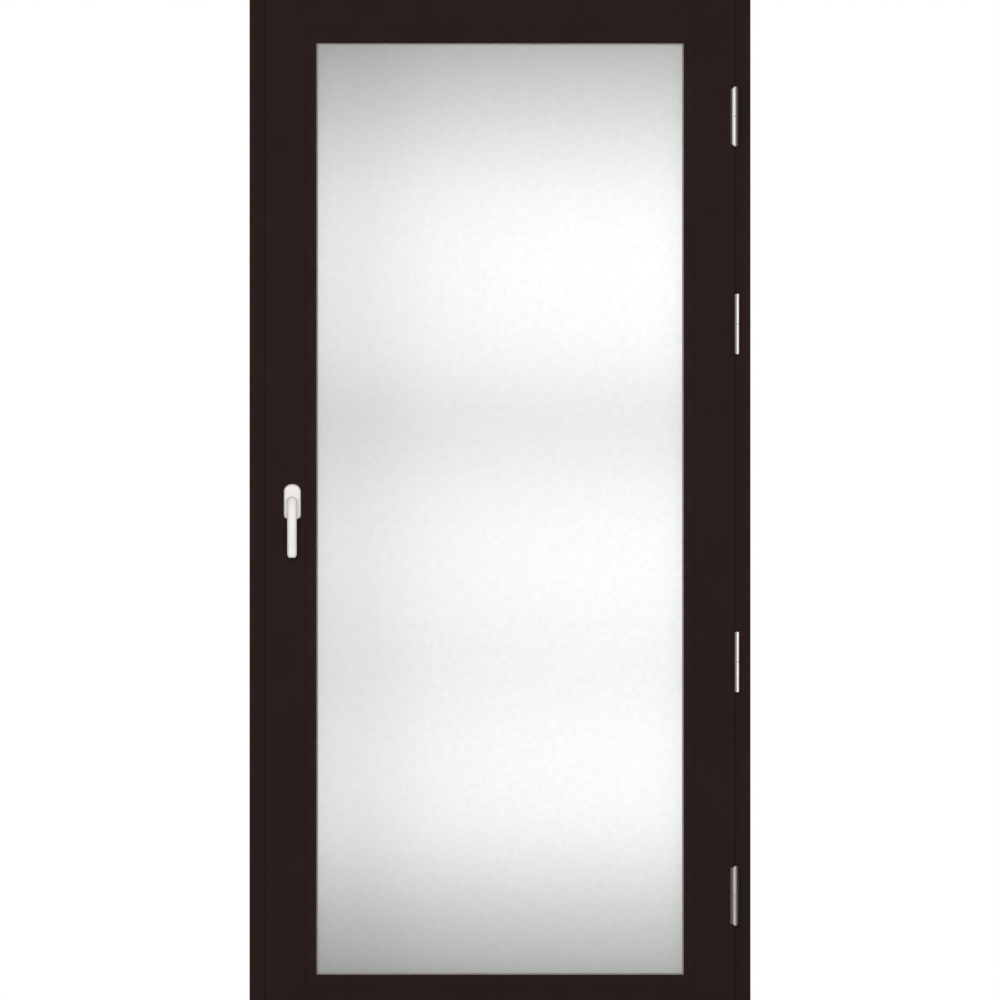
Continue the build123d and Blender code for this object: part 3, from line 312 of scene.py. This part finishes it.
def extruded_rubber(name, colour, roughness):
    """Extruded sealing rubber: dull, with a faint bloom."""
    return grained_finish(
        name,
        colour,
        spread=0.12,
        clouds=(12 * MILLIMETRE, 4.0),
        grain=(0.8 * MILLIMETRE, 2.0),
        depth=0.03 * MILLIMETRE,
        sockets={"Roughness": roughness},
    )


GLASS_IOR = 1.52
# How light the satin pane is up its height, from its foot, and across it, from the handle's side. A
# scratch script compared the photo's brightness with a render's to find the tones, which were then typed
# These tones are painted daylight: the light from behind the pane, painted into its colour
PAINTED_DAYLIGHT_BANDS = [
    (0.0, "#B7B8B5"),
    (0.06, "#CCCECB"),
    (0.125, "#EEEFEE"),
    (0.18, "#FDFEFD"),
    (0.26, "#FFFFFF"),
    (0.335, "#F2F3F2"),
    (0.43, "#FFFFFF"),
    (0.52, "#F6F7F6"),
    (0.595, "#E3E4E3"),
    (0.66, "#F7F8F7"),
    (0.75, "#FFFFFF"),
    (0.83, "#F8F9F8"),
    (0.895, "#E1E3E1"),
    (0.95, "#CACCC9"),
    (1.0, "#B4B5B2"),
]
PAINTED_DAYLIGHT_SIDES = [
    (0.0, "#E9E9E9"),
    (0.1, "#E4E4E4"),
    (0.2, "#E9E9E9"),
    (0.32, "#F3F3F3"),
    (0.5, "#F9F9F9"),
    (0.75, "#FDFDFD"),
    (1.0, "#FFFFFF"),
]


def satin_glass(settings):
    """Acid-etched float glass with daylight behind it.

    The daylight that comes through it is painted into its colour as soft bands: dim at its head and
    foot, bright below the head, round the middle and above the foot, and a little dimmer towards the
    handle. The etching's grain is far finer than a millimetre and is drawn as soft clouds, so that it shows."""
    sockets = {
        "Roughness": settings.satin_roughness,
        "IOR": GLASS_IOR,
        "Transmission Weight": settings.clearness,
    }
    material, tree, shader, place = start_finish("satin_etched_glass", sockets)
    axes = add(tree, "ShaderNodeSeparateXYZ", {"Vector": place}).outputs
    layers = []
    # Painted daylight: bands up the pane's height and a dimming across it towards the handle
    for axis, start, end, stops in (
        ("Z", GLASS_LOW.z, GLASS_HIGH.z, PAINTED_DAYLIGHT_BANDS),
        ("X", GLASS_LOW.x, GLASS_HIGH.x, PAINTED_DAYLIGHT_SIDES),
    ):
        share = add(tree, "ShaderNodeMapRange", {"Value": axes[axis], "From Min": start, "From Max": end})
        light = add(tree, "ShaderNodeValToRGB", {"Fac": share.outputs["Result"]}, stops, "B_SPLINE")
        layers.append(light.outputs["Color"])
    scale = {"Vector": place, "Scale": 1 / settings.mottle, "Detail": 4.0, "Roughness": 0.7}
    mottle = add(tree, "ShaderNodeTexNoise", scale).outputs["Fac"]
    specks = [(0.32, "#F7F7F7"), (0.68, "#FFFFFF")]
    layers.append(add(tree, "ShaderNodeValToRGB", {"Fac": mottle}, specks).outputs["Color"])
    layers.append(settings.satin)
    pane = layers[0]
    for layer in layers[1:]:
        mix = add(tree, "ShaderNodeMix", {"Factor": 1.0, MIX_FIRST: pane, MIX_SECOND: layer}, **MULTIPLY)
        pane = mix.outputs[MIX_RESULT]
    tree.links.new(pane, shader.inputs["Base Color"])
    relief = add(tree, "ShaderNodeBump", {"Height": mottle, "Distance": 0.05 * MILLIMETRE})
    tree.links.new(relief.outputs["Normal"], shader.inputs["Normal"])
    return material


def float_glass():
    """Clear float glass: smooth, with a faint green that drifts a little."""
    sockets = {"Roughness": 0.02, "IOR": GLASS_IOR, "Transmission Weight": 1.0}
    material, tree, shader, place = start_finish("clear_float_glass", sockets)
    tint = drifting_colour(tree, place, (200 * MILLIMETRE, 2.0), linear("#FAFDFC"), linear("#FCFEFD"))
    tree.links.new(tint, shader.inputs["Base Color"])
    return material


def perforated_spacer():
    """Roll-formed aluminium spacer bar: satin, with a fine grain."""
    grain = (0.8 * MILLIMETRE, 3.0)
    return grained_finish(
        "perforated_spacer",
        linear("#BEBFC1"),
        spread=0.06,
        clouds=grain,
        grain=grain,
        depth=0.02 * MILLIMETRE,
        sockets={"Metallic": 1.0, "Roughness": 0.42},
    )


def edge_sealant():
    """Two-part sealant trowelled into the unit's edge: black, dull and slightly lumpy."""
    lumps = (5 * MILLIMETRE, 4.0)
    return grained_finish(
        "trowelled_edge_sealant",
        linear("#191919"),
        spread=0.2,
        clouds=lumps,
        grain=lumps,
        depth=0.2 * MILLIMETRE,
        sockets={"Roughness": 0.6},
    )


def moulded_plastic(name, colour, roughness):
    """Injection-moulded plastic with a fine spark-eroded grain."""
    return grained_finish(
        name,
        colour,
        spread=0.04,
        clouds=(8 * MILLIMETRE, 2.0),
        grain=(0.5 * MILLIMETRE, 2.0),
        depth=0.02 * MILLIMETRE,
        sockets={"Roughness": roughness},
    )


def baked_handle_coat(settings):
    """Die-cast zinc with a smooth baked coat: an even colour with long soft waves."""
    return grained_finish(
        "baked_handle_coat",
        settings.coat,
        spread=0.02,
        clouds=(20 * MILLIMETRE, 2.0),
        grain=(4 * MILLIMETRE, 2.0),
        depth=0.01 * MILLIMETRE,
        sockets={"Roughness": 0.34},
    )


# How far the hinges' painted light and shade reach to either side of the barrel's axis, and behind the sash's
# face
HINGE_TO_SASH = 13.0 * MILLIMETRE
HINGE_TO_FRAME = 5.5 * MILLIMETRE
SHADE_FADE_DEPTH = 1.5 * MILLIMETRE
# The tones are painted light and shade: a painted highlight on each barrel's front, painted shade on
# its sides and a dark painted shadow beside it. They were found like the pane's, from the photo's
# pixel columns across each hinge, and then thinned
TOP_HINGE_PAINTED_SHADE = [
    (0.0, "#363433"),
    (0.26, "#504E4D"),
    (0.42, "#FFFFFF"),
    (0.54, "#FFFFFF"),
    (0.64, "#868483"),
    (0.76, "#656362"),
    (0.84, "#1E1C1B"),
]
MIDDLE_HINGE_PAINTED_SHADE = [
    (0.0, "#262423"),
    (0.54, "#262423"),
    (0.64, "#7E7D7C"),
    (0.75, "#9C9B9A"),
    (0.83, "#FFFFFF"),
]
LOW_HINGE_PAINTED_SHADE = [
    (0.0, "#605E5D"),
    (0.32, "#545251"),
    (0.42, "#C8C6C5"),
    (0.54, "#CFCDCC"),
    (0.64, "#8D8B8A"),
    (0.76, "#656362"),
    (0.84, "#1E1C1B"),
]


def hinge_coat(name, colour, painted_shading):
    """Baked coat on a hinge, with light and shade painted across it: a painted highlight on the barrel's
    front, painted shade on its sides and a dark painted shadow beside it.

    The painted tones run across the hinge, from its plate on the sash to the frame's side of its barrel. They
    end at the sash's face, fading out just behind it, so the leaves inside the door's rebate keep the plain
    coat."""
    material, tree, shader, place = start_finish(name, {"Roughness": 0.38, "Specular IOR Level": 0.2})
    axes = add(tree, "ShaderNodeSeparateXYZ", {"Vector": place}).outputs
    barrel = SWING["pos_m"][0]
    span = {"Value": axes["X"], "From Min": barrel - HINGE_TO_SASH, "From Max": barrel + HINGE_TO_FRAME}
    across = add(tree, "ShaderNodeMapRange", span).outputs["Result"]
    # Painted highlight and shade across the hinge, faded out behind the sash's face
    painted_tone = add(tree, "ShaderNodeValToRGB", {"Fac": across}, painted_shading).outputs["Color"]
    edge = {"Value": axes["Y"], "From Min": SASH_FACE + SHADE_FADE_DEPTH, "From Max": SASH_FACE}
    outside = add(tree, "ShaderNodeMapRange", edge).outputs["Result"]
    waves = drifting_colour(tree, place, (20 * MILLIMETRE, 2.0), scaled(colour, 0.98), colour)
    coat = add(tree, "ShaderNodeMix", {"Factor": outside, MIX_FIRST: waves, MIX_SECOND: painted_tone}, **MULTIPLY)
    tree.links.new(coat.outputs[MIX_RESULT], shader.inputs["Base Color"])
    fine_relief(tree, shader, place, (3 * MILLIMETRE, 2.0), 0.01 * MILLIMETRE)
    return material


def machined_steel(name, colour, roughness):
    """Turned or cut steel: a grey metal with fine tool marks."""
    marks = (0.7 * MILLIMETRE, 4.0)
    return grained_finish(
        name,
        colour,
        spread=0.08,
        clouds=marks,
        grain=marks,
        depth=0.015 * MILLIMETRE,
        sockets={"Metallic": 1.0, "Roughness": roughness},
    )


def dress(nodes, material):
    """Gives CAD nodes a finish and leaves their meshes as they are."""
    for name in nodes:
        mesh = frame["nodes"][name].data
        mesh.materials.clear()
        mesh.materials.append(material)


# Meshes from arrays

def quads_between(rows, columns, closed):
    """Indices of the faces between neighbouring rows of closed loops."""
    row, column = np.meshgrid(np.arange(rows if closed else rows - 1), np.arange(columns), indexing="ij")
    next_row = (row + 1) % rows
    next_column = (column + 1) % columns
    corners = [row * columns + column, row * columns + next_column]
    corners += [next_row * columns + next_column, next_row * columns + column]
    return np.stack(corners, axis=-1).reshape(-1, 4)


def fan(centre, start, columns):
    """Indices of the triangles between one loop and a point at its middle."""
    around = np.arange(columns)
    return np.stack([np.full(columns, centre), start + (around + 1) % columns, start + around], axis=-1)


def enclosed_volume(points, triangles):
    """Signed volume inside a closed surface: the sum of the cones from the origin to its triangles."""
    a, b, c = (points[triangles[:, corner]] for corner in range(3))
    return np.einsum("ij,ij->i", a, np.cross(b, c)).sum() / 6


def skin(name, loops, material, body, closed=False, crease=35.0):
    """A closed surface through loops of points, an array of rows by columns by three.

    A closed one runs from its last loop back to its first; an open one gets a pole at each end, at
    the mean of its end loop. The faces are turned outwards by the sign of the enclosed volume."""
    rows, columns = loops.shape[:2]
    points = loops.reshape(-1, 3)
    quads = quads_between(rows, columns, closed)
    triangles = np.concatenate([quads[:, [0, 1, 2]], quads[:, [0, 2, 3]]])
    caps = np.empty((0, 3), int)
    if not closed:
        poles = np.stack([loops[0].mean(axis=0), loops[-1].mean(axis=0)])
        points = np.concatenate([points, poles])
        first_cap = fan(rows * columns, 0, columns)
        last_cap = fan(rows * columns + 1, (rows - 1) * columns, columns)[:, ::-1]
        caps = np.concatenate([first_cap, last_cap])
        triangles = np.concatenate([triangles, caps])
    if enclosed_volume(points, triangles) < 0:
        quads = quads[:, ::-1]
        caps = caps[:, ::-1]
    mesh = bpy.data.meshes.new(name)
    mesh.from_pydata(points.tolist(), [], quads.tolist() + caps.tolist())
    mesh.polygons.foreach_set("use_smooth", np.ones(len(mesh.polygons), bool))
    mesh.set_sharp_from_angle(angle=radians(crease))
    mesh.materials.append(material)
    piece = bpy.data.objects.new(name, mesh)
    bpy.context.scene.collection.objects.link(piece)
    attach(piece, body)
    return piece


def ring_loops(profile, half_width, bottom, top):
    """A profile carried round a rectangle, with mitred corners.

    The profile has columns of inset and depth, in metres. The inset moves each of the rectangle's
    four corners diagonally inwards, and the depth is along Y."""
    inset, depth = profile.T
    corners = []
    for side_x, edge_z, inward in ((-1, bottom, 1), (1, bottom, 1), (1, top, -1), (-1, top, -1)):
        corners.append(np.stack([side_x * (half_width - inset), depth, edge_z + inward * inset], axis=-1))
    return np.stack(corners)


def rounded_box(inset_from, inset_to, depth_from, depth_to, radius, steps=5):
    """An outline between two insets and two depths, with quarter circles at its corners."""
    centres_x = np.array([inset_to - radius, inset_to - radius, inset_from + radius, inset_from + radius])
    centres_y = np.array([depth_from + radius, depth_to - radius, depth_to - radius, depth_from + radius])
    starts = np.radians([-90.0, 0.0, 90.0, 180.0])
    turns = starts[:, None] + np.linspace(0, pi / 2, steps)[None, :]
    x = centres_x[:, None] + radius * np.cos(turns)
    y = centres_y[:, None] + radius * np.sin(turns)
    return np.stack([x.ravel(), y.ravel()], axis=-1)


def corner_loop(half_across, half_up, radii, rises=None, power=1.0, steps=13):
    """A rounded rectangle round its own centre, from half sizes and four corner radii.

    The corners go round from the right top. Each is a quarter of an ellipse: its radius is how far
    it reaches across, and its rise how far it reaches up, which is the same if none is given. The
    sine and the cosine are raised to the power, which makes the corner flatter, like a bevel."""
    signs = np.array([(1, 1), (-1, 1), (-1, -1), (1, -1)], float)
    reach = np.stack([radii, radii if rises is None else rises], axis=-1)
    centres = signs * (np.array([half_across, half_up]) - reach)
    starts = np.radians([0.0, 90.0, 180.0, 270.0])
    turns = starts[:, None] + np.linspace(0, pi / 2, steps)[None, :]
    cosine, sine = (np.sign(wave) * np.abs(wave) ** power for wave in (np.cos(turns), np.sin(turns)))
    across = centres[:, 0, None] + reach[:, 0, None] * cosine
    up = centres[:, 1, None] + reach[:, 1, None] * sine
    return np.stack([across.ravel(), up.ravel()], axis=-1)


def handle_loop(across, forward, up):
    """Points around the spindle's axis: across, forward from the sash's face into the room, and up."""
    depth = np.broadcast_to(SASH_FACE - forward, across.shape)
    return np.stack([SPINDLE.x + across, depth, SPINDLE.z + up], axis=-1)


class PieceOperator:
    """What the operators share: their settings and their place in the undo list."""

    bl_options = {"REGISTER", "UNDO"}

    def settings(self, context):
        """The door's settings on the scene."""
        return context.scene.balcony_door


# Profiles, core and drain caps

FRAME_SIDES = ("frame_head", "frame_sill", "frame_lock_jamb", "frame_hinge_jamb")
SASH_SIDES = ("top_rail", "bottom_rail", "lock_stile", "hinge_stile")
SHELLS = [f"{place}_{side}" for place in (*FRAME_SIDES, *SASH_SIDES) for side in ("inner", "outer")]
BEADS = [f"bead_{place}" for place in ("top", "bottom", "lock_side", "hinge_side")]


class DOOR_OT_profiles(PieceOperator, bpy.types.Operator):
    """Finish the frame, the sash, their strips, cleats and drain caps"""

    bl_idname = "balcony_door.profiles"
    bl_label = "Profiles"

    def execute(self, context):
        settings = self.settings(context).profiles
        dress(SHELLS + BEADS, powder_coated_aluminium(settings))
        dress(["frame_thermal_strips", "sash_thermal_strips"], extruded_polyamide(settings))
        dress(["frame_corner_cleats", "sash_corner_cleats"], mill_finish_aluminium())
        dress(["drain_caps"], moulded_plastic("moulded_drain_cap", settings.coat, 0.5))
        return {"FINISHED"}


# Glazing

class DOOR_OT_glazing(PieceOperator, bpy.types.Operator):
    """Finish the three panes, the spacers, the edge seal and the setting blocks"""

    bl_idname = "balcony_door.glazing"
    bl_label = "Glazing"

    def execute(self, context):
        settings = self.settings(context).glazing
        dress(["room_pane"], satin_glass(settings))
        dress(["middle_pane", "outdoor_pane"], float_glass())
        dress(["spacer_bars"], perforated_spacer())
        dress(["edge_seal"], edge_sealant())
        dress(["setting_blocks"], moulded_plastic("moulded_setting_block", linear("#2B4A86"), 0.45))
        return {"FINISHED"}


class DOOR_OT_seals(PieceOperator, bpy.types.Operator):
    """Make the gaskets round the glass with rounded lips, and finish the door seals"""

    bl_idname = "balcony_door.seals"
    bl_label = "Seals"

    def execute(self, context):
        settings = self.settings(context).glazing
        black = extruded_rubber("extruded_black_rubber", linear("#1A1A1A"), 0.55)
        grey = extruded_rubber("extruded_grey_rubber", settings.gasket, 0.6)
        for node, finish, slot in (
            ("room_glass_gasket", grey, "grey_seal"),
            ("outdoor_glass_gasket", black, "black_seal"),
        ):
            lowest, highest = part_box(node)
            mesh = frame["nodes"][node].data
            places = np.array([vertex.co for vertex in mesh.vertices])
            inner_side = places[np.abs(places[:, 0]) < highest.x - 2 * settings.lip_radius, 0].max()
            profile = rounded_box(0.0, highest.x - inner_side, lowest.y, highest.y, settings.lip_radius)
            loops = ring_loops(profile, highest.x, lowest.z, highest.z)
            gasket = skin(f"{node}_lip", loops, finish, "sash", closed=True)
            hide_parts(node)
        dress(["centre_gasket", "overlap_gasket"], black)
        return {"FINISHED"}


# Hinges and lock

class DOOR_OT_hinges(PieceOperator, bpy.types.Operator):
    """Finish the hinge leaves, their pins and bushes"""

    bl_idname = "balcony_door.hinges"
    bl_label = "Hinges"

    def execute(self, context):
        settings = self.settings(context).hardware
        # Each hinge gets its own painted highlight and shade
        for name, numbers, painted_shading in (
            ("top_hinge_coat", (1,), TOP_HINGE_PAINTED_SHADE),
            ("middle_hinge_coat", (2, 3), MIDDLE_HINGE_PAINTED_SHADE),
            ("low_hinge_coat", (4,), LOW_HINGE_PAINTED_SHADE),
        ):
            leaves = [f"hinge_{part}_leaf_{number}" for part in ("frame", "sash") for number in numbers]
            dress(leaves, hinge_coat(name, settings.hinge, painted_shading))
        dress(["hinge_pins"], machined_steel("turned_steel", settings.steel, 0.3))
        dress(["hinge_bushes"], moulded_plastic("moulded_bush", linear("#4E4C4A"), 0.4))
        return {"FINISHED"}


class DOOR_OT_lock(PieceOperator, bpy.types.Operator):
    """Finish the gearbox, the drive rod, the locking pins, the keeps and the screws"""

    bl_idname = "balcony_door.lock"
    bl_label = "Lock"

    def execute(self, context):
        settings = self.settings(context).hardware
        zinc = machined_steel("zinc_plated_steel", settings.zinc, 0.42)
        steel = bpy.data.materials["turned_steel"]
        dress(["gearbox_case", "gearbox_cover", "drive_rod", "lock_keeps", "rosette_base"], zinc)
        dress(["frame_screws", "sash_screws", "rosette_screws"], zinc)
        dress(["drive_pinion", "rack_slide", "lock_pins", "spindle"], steel)
        return {"FINISHED"}


# Handle

# The rosette's hole for the neck, and the small rounding at its edge
ROSETTE_HOLE = 8.1 * MILLIMETRE
COLLAR_ROUND = 0.4 * MILLIMETRE
# The lever: its arm's thickness, its round neck, how soon the neck widens, and how far its tip narrows
LEVER_THICK = 12 * MILLIMETRE
NECK_RADIUS = 8 * MILLIMETRE
FLARE = 10 * MILLIMETRE
TIP_NARROWING = 4.6 * MILLIMETRE
SHARP_EDGE = 0.3 * MILLIMETRE
# The arm's front corners: 1 is a quarter of an ellipse, and more is flatter, like a bevel
BEVEL_POWER = 1.5


class DOOR_OT_rosette(PieceOperator, bpy.types.Operator):
    """Make the rosette's snap-on cover"""

    bl_idname = "balcony_door.rosette"
    bl_label = "Rosette"

    def execute(self, context):
        """Loops that start at the cover's rim, run up its side, round its front edge, over its face to
        the hole, and back inside: each loop is the outline inset by some way, or a share of the way
        from there to the hole's circle."""
        settings = self.settings(context).handle
        lowest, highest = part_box("rosette_cover")
        half_across = (highest.x - lowest.x) / 2
        half_up = (highest.z - lowest.z) / 2
        depth = highest.y - lowest.y
        edge = settings.rosette_edge
        fall = settings.rosette_fall
        wall = settings.rosette_wall
        radii = np.array([settings.rosette_top] * 2 + [settings.rosette_foot] * 2)

        def outline(inset):
            return corner_loop(half_across - inset, half_up - inset, radii - inset)

        circle = corner_loop(ROSETTE_HOLE, ROSETTE_HOLE, [ROSETTE_HOLE] * 4)
        flat = [(outline(0.0), 0.0), (outline(0.0), depth - fall)]
        for turn in np.radians(np.linspace(10, 90, 9)):
            inset = edge * (1 - np.cos(turn))
            flat.append((outline(inset), depth - fall + fall * np.sin(turn)))
        front = outline(edge)
        collar = circle * (1 + COLLAR_ROUND / ROSETTE_HOLE)
        for share in np.linspace(0.2, 1.0, 5):
            flat.append((front + (collar - front) * share, depth))
        flat += [(circle, depth - COLLAR_ROUND), (circle, depth - wall)]
        base_front = SASH_FACE - low("rosette_base").y
        inner = outline(wall)
        flat += [(front, depth - wall), (inner, base_front + COLLAR_ROUND), (inner, 0.0)]
        loops = np.stack([handle_loop(points[:, 0], forward, points[:, 1]) for points, forward in flat])
        coat = baked_handle_coat(settings)
        cover = skin("rosette_shell", loops, coat, "sash", closed=True)
        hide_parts("rosette_cover")
        return {"FINISHED"}


class DOOR_OT_lever(PieceOperator, bpy.types.Operator):
    """Make the lever from its socket and neck to its free end"""

    bl_idname = "balcony_door.lever"
    bl_label = "Lever"

    def execute(self, context):
        """A rounded rectangle carried along the lever.

        Each loop spans from a point on the lever's outer line, which is the neck's top and then the
        arm's front, to a point on its inner line, and is as wide as the lever there. Its corner
        radii go from the round neck's to the arm's."""
        settings = self.settings(context).handle
        lowest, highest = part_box("lever")
        half_width = (highest.x - lowest.x) / 2
        front = SASH_FACE - lowest.y
        back = front - LEVER_THICK
        neck_end = SASH_FACE - highest.y
        top = highest.z - SPINDLE.z
        reach = SPINDLE.z - lowest.z
        block = SASH_FACE - low("rosette_cover").y
        arm = (settings.front_radius, settings.back_radius, settings.front_fall)
        stations = []

        def station(outer, inner, half, front_radius, back_radius, front_fall, power=1.0):
            """One loop: its outer and inner points as forward and up, its half width and its roundings."""
            stations.append((outer, inner, half, front_radius, back_radius, front_fall, power))

        def round_station(forward, rise, half, radius):
            """A loop upright to the spindle's axis, which is round where its radius is its half width."""
            station((forward, rise), (forward, -rise), half, radius, radius, radius)

        socket = (high("spindle").x - low("spindle").x) / 2
        round_station(SASH_FACE - low("spindle").y, socket, socket, SHARP_EDGE)
        round_station(neck_end, socket, socket, SHARP_EDGE)
        round_station(neck_end, NECK_RADIUS, NECK_RADIUS, NECK_RADIUS)
        round_station(block, NECK_RADIUS, NECK_RADIUS, NECK_RADIUS)
        for share in np.linspace(0, 1, 9)[1:]:
            ease = share * share * (3 - 2 * share)
            size = NECK_RADIUS + (half_width - NECK_RADIUS) * ease
            rise = NECK_RADIUS + (top - NECK_RADIUS) * ease
            round_station(block + share * FLARE, rise, size, size)

        bend = settings.bend_depth
        for turn in np.linspace(0, pi / 2, 15):
            share = turn / (pi / 2)
            forward = bend * (np.sin(turn) - 1)
            fall = 1 - np.cos(turn)
            outer = (front + forward, top - settings.bend_drop * fall)
            inner = (back + forward, -top - bend * fall)
            roundings = [half_width + (size - half_width) * share for size in arm]
            station(outer, inner, half_width, *roundings, 1 + (BEVEL_POWER - 1) * share)

        tip = settings.tip_radius
        for turn in np.linspace(0, pi / 2, 8):
            pull = TIP_NARROWING * (1 - np.cos(turn))
            height = -reach + tip * (1 - np.sin(turn))
            roundings = [max(size - pull * part, SHARP_EDGE) for size, part in zip(arm, (0.5, 0.5, 1.5))]
            outer = (front - 1.3 * pull, height)
            inner = (back + pull / 2, height)
            station(outer, inner, half_width - pull, *roundings, BEVEL_POWER)

        loops = []
        for outer, inner, half, front_radius, back_radius, front_fall, power in stations:
            outer, inner = np.array(outer), np.array(inner)
            half_span = np.hypot(*(outer - inner)) / 2
            direction = (outer - inner) / (2 * half_span)
            radii = np.minimum([front_radius, front_radius, back_radius, back_radius], half)
            rises = np.array([front_fall, front_fall, back_radius, back_radius])
            rises *= min(1.0, 2 * half_span / (front_fall + back_radius))
            flat = corner_loop(half, half_span, radii, rises, power)
            forward, up = ((outer + inner) / 2 + flat[:, 1, None] * direction).T
            loops.append(handle_loop(flat[:, 0], forward, up))
        coat = bpy.data.materials["baked_handle_coat"]
        lever = skin("lever_arm", np.stack(loops), coat, "handle")
        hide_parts("lever")
        return {"FINISHED"}


# Stage

WHITE = (1.0, 1.0, 1.0, 1.0)
FLOOR_CORNERS = 96
FLOOR_RADIUS = 7.0
# Where the floor starts to turn white, and where it is white
FLOOR_FADE = (0.8, 1.4)
# Each lamp's place and its share of the lamps' light
LAMPS = {
    "left_front_lamp": ((-1.0, -7.5, 1.9), 0.62),
    "right_front_lamp": ((1.0, -7.5, 1.5), 0.38),
    "left_back_lamp": ((-2.4, 7.2, 1.9), 0.5),
    "right_back_lamp": ((2.4, 7.2, 1.5), 0.5),
    "left_side_lamp": ((-6.5, -0.6, 2.2), 0.1),
    "right_side_lamp": ((6.5, -0.6, 2.2), 0.1),
}
LAMP_SIZE = 1.4


class DOOR_OT_stage(PieceOperator, bpy.types.Operator):
    """Set the floor, the soft light, the white surroundings and the camera"""

    bl_idname = "balcony_door.stage"
    bl_label = "Stage"

    def execute(self, context):
        settings = self.settings(context).stage
        scene = context.scene
        scene.view_settings.view_transform = "Standard"
        self.surroundings(scene, settings)
        self.floor()
        aim = Vector((0.0, 0.0, DOOR_HEIGHT / 2))
        for name, (place, share) in LAMPS.items():
            self.lamp(name, Vector(place), aim, share * settings.lamp_level)
        self.camera(scene, settings)
        return {"FINISHED"}

    def surroundings(self, scene, settings):
        """White where the camera, glass or a shiny surface sees them, and a plain light elsewhere."""
        world = bpy.data.worlds.new("pale_room")
        scene.world = world
        world.use_nodes = True
        tree = world.node_tree
        tree.nodes.clear()
        seen = sees_surroundings(tree)
        levels = {"Value": seen, "To Min": settings.room_level, "To Max": 1.0}
        level = add(tree, "ShaderNodeMapRange", levels).outputs["Result"]
        light = add(tree, "ShaderNodeBackground", {"Color": WHITE, "Strength": level})
        output = add(tree, "ShaderNodeOutputWorld")
        tree.links.new(light.outputs["Background"], output.inputs["Surface"])

    def floor(self):
        """A round pale floor that keeps the door's shadow and turns plain white further out."""
        turns = np.linspace(0, 2 * pi, FLOOR_CORNERS, endpoint=False)
        rim = FLOOR_RADIUS * np.stack([np.cos(turns), np.sin(turns), np.zeros(FLOOR_CORNERS)], axis=-1)
        mesh = bpy.data.meshes.new("floor")
        mesh.from_pydata(rim.tolist(), [], [list(range(FLOOR_CORNERS))])
        sockets = {"Base Color": linear("#F4F3F1"), "Roughness": 0.9}
        material, tree, shader, place = start_finish("pale_floor", sockets)
        reach = add(tree, "ShaderNodeVectorMath", {0: place}, operation="LENGTH").outputs["Value"]
        fade = {"Value": reach, "From Min": FLOOR_FADE[0], "From Max": FLOOR_FADE[1]}
        outward = add(tree, "ShaderNodeMapRange", fade, interpolation_type="SMOOTHSTEP").outputs["Result"]
        seen = sees_surroundings(tree)
        share = add(tree, "ShaderNodeMath", {0: seen, 1: outward}, operation="MULTIPLY").outputs[0]
        white = add(tree, "ShaderNodeEmission", {"Color": WHITE}).outputs["Emission"]
        mix = add(tree, "ShaderNodeMixShader", {0: share, 1: shader.outputs["BSDF"], 2: white})
        tree.links.new(mix.outputs[0], tree.nodes["Material Output"].inputs["Surface"])
        mesh.materials.append(material)
        floor = bpy.data.objects.new("floor", mesh)
        bpy.context.scene.collection.objects.link(floor)

    def lamp(self, name, place, aim, level):
        """A square soft lamp, which shows in no reflection: the white surroundings do that. Its power
        gives a white surface that faces it the level asked for: level times pi squared times the
        distance squared."""
        data = bpy.data.lights.new(name, "AREA")
        data.size = LAMP_SIZE
        towards = aim - place
        data.energy = level * pi ** 2 * towards.length_squared
        lamp = bpy.data.objects.new(name, data)
        lamp.location = place
        lamp.rotation_euler = towards.to_track_quat("-Z", "Y").to_euler()
        lamp.visible_camera = False
        lamp.visible_glossy = False
        lamp.visible_transmission = False
        bpy.context.scene.collection.objects.link(lamp)

    def camera(self, scene, settings):
        """A long lens, level with the middle of the view: focal length is the sensor's width times
        the distance over the view's width."""
        data = bpy.data.cameras.new("camera")
        data.lens = data.sensor_width * settings.distance / settings.view_width
        data.clip_end = 4 * settings.distance
        camera = bpy.data.objects.new("camera", data)
        camera.location = (0.0, SASH_FACE - settings.distance, settings.view_height)
        camera.rotation_euler = (pi / 2, 0.0, 0.0)
        scene.collection.objects.link(camera)
        scene.camera = camera


class DOOR_PT_panel(bpy.types.Panel):
    """The door's pieces and settings in the sidebar"""

    bl_label = "Balcony Door"
    bl_idname = "DOOR_PT_panel"
    bl_space_type = "VIEW_3D"
    bl_region_type = "UI"
    bl_category = "Balcony Door"

    def draw(self, context):
        layout = self.layout
        door = context.scene.balcony_door
        for operator in OPERATORS:
            layout.operator(operator.bl_idname)
        for group in (door.profiles, door.glazing, door.handle, door.hardware, door.stage):
            box = layout.box()
            for name in group.__annotations__:
                box.prop(group, name)


GROUPS = (ProfileSettings, GlazingSettings, HandleSettings, HardwareSettings, StageSettings, DoorSettings)
OPERATORS = (
    DOOR_OT_profiles,
    DOOR_OT_glazing,
    DOOR_OT_seals,
    DOOR_OT_hinges,
    DOOR_OT_lock,
    DOOR_OT_rosette,
    DOOR_OT_lever,
    DOOR_OT_stage,
)


def register():
    """Makes the settings, the operators and the panel known."""
    for cls in (*GROUPS, *OPERATORS, DOOR_PT_panel):
        bpy.utils.register_class(cls)
    bpy.types.Scene.balcony_door = PointerProperty(type=DoorSettings)


def unregister():
    """Takes them away again, in the opposite order."""
    del bpy.types.Scene.balcony_door
    for cls in (DOOR_PT_panel, *reversed(OPERATORS), *reversed(GROUPS)):
        bpy.utils.unregister_class(cls)


def main():
    register()
    for operator in OPERATORS:
        group, name = operator.bl_idname.split(".")
        getattr(getattr(bpy.ops, group), name)()


if __name__ == "__main__":
    main()
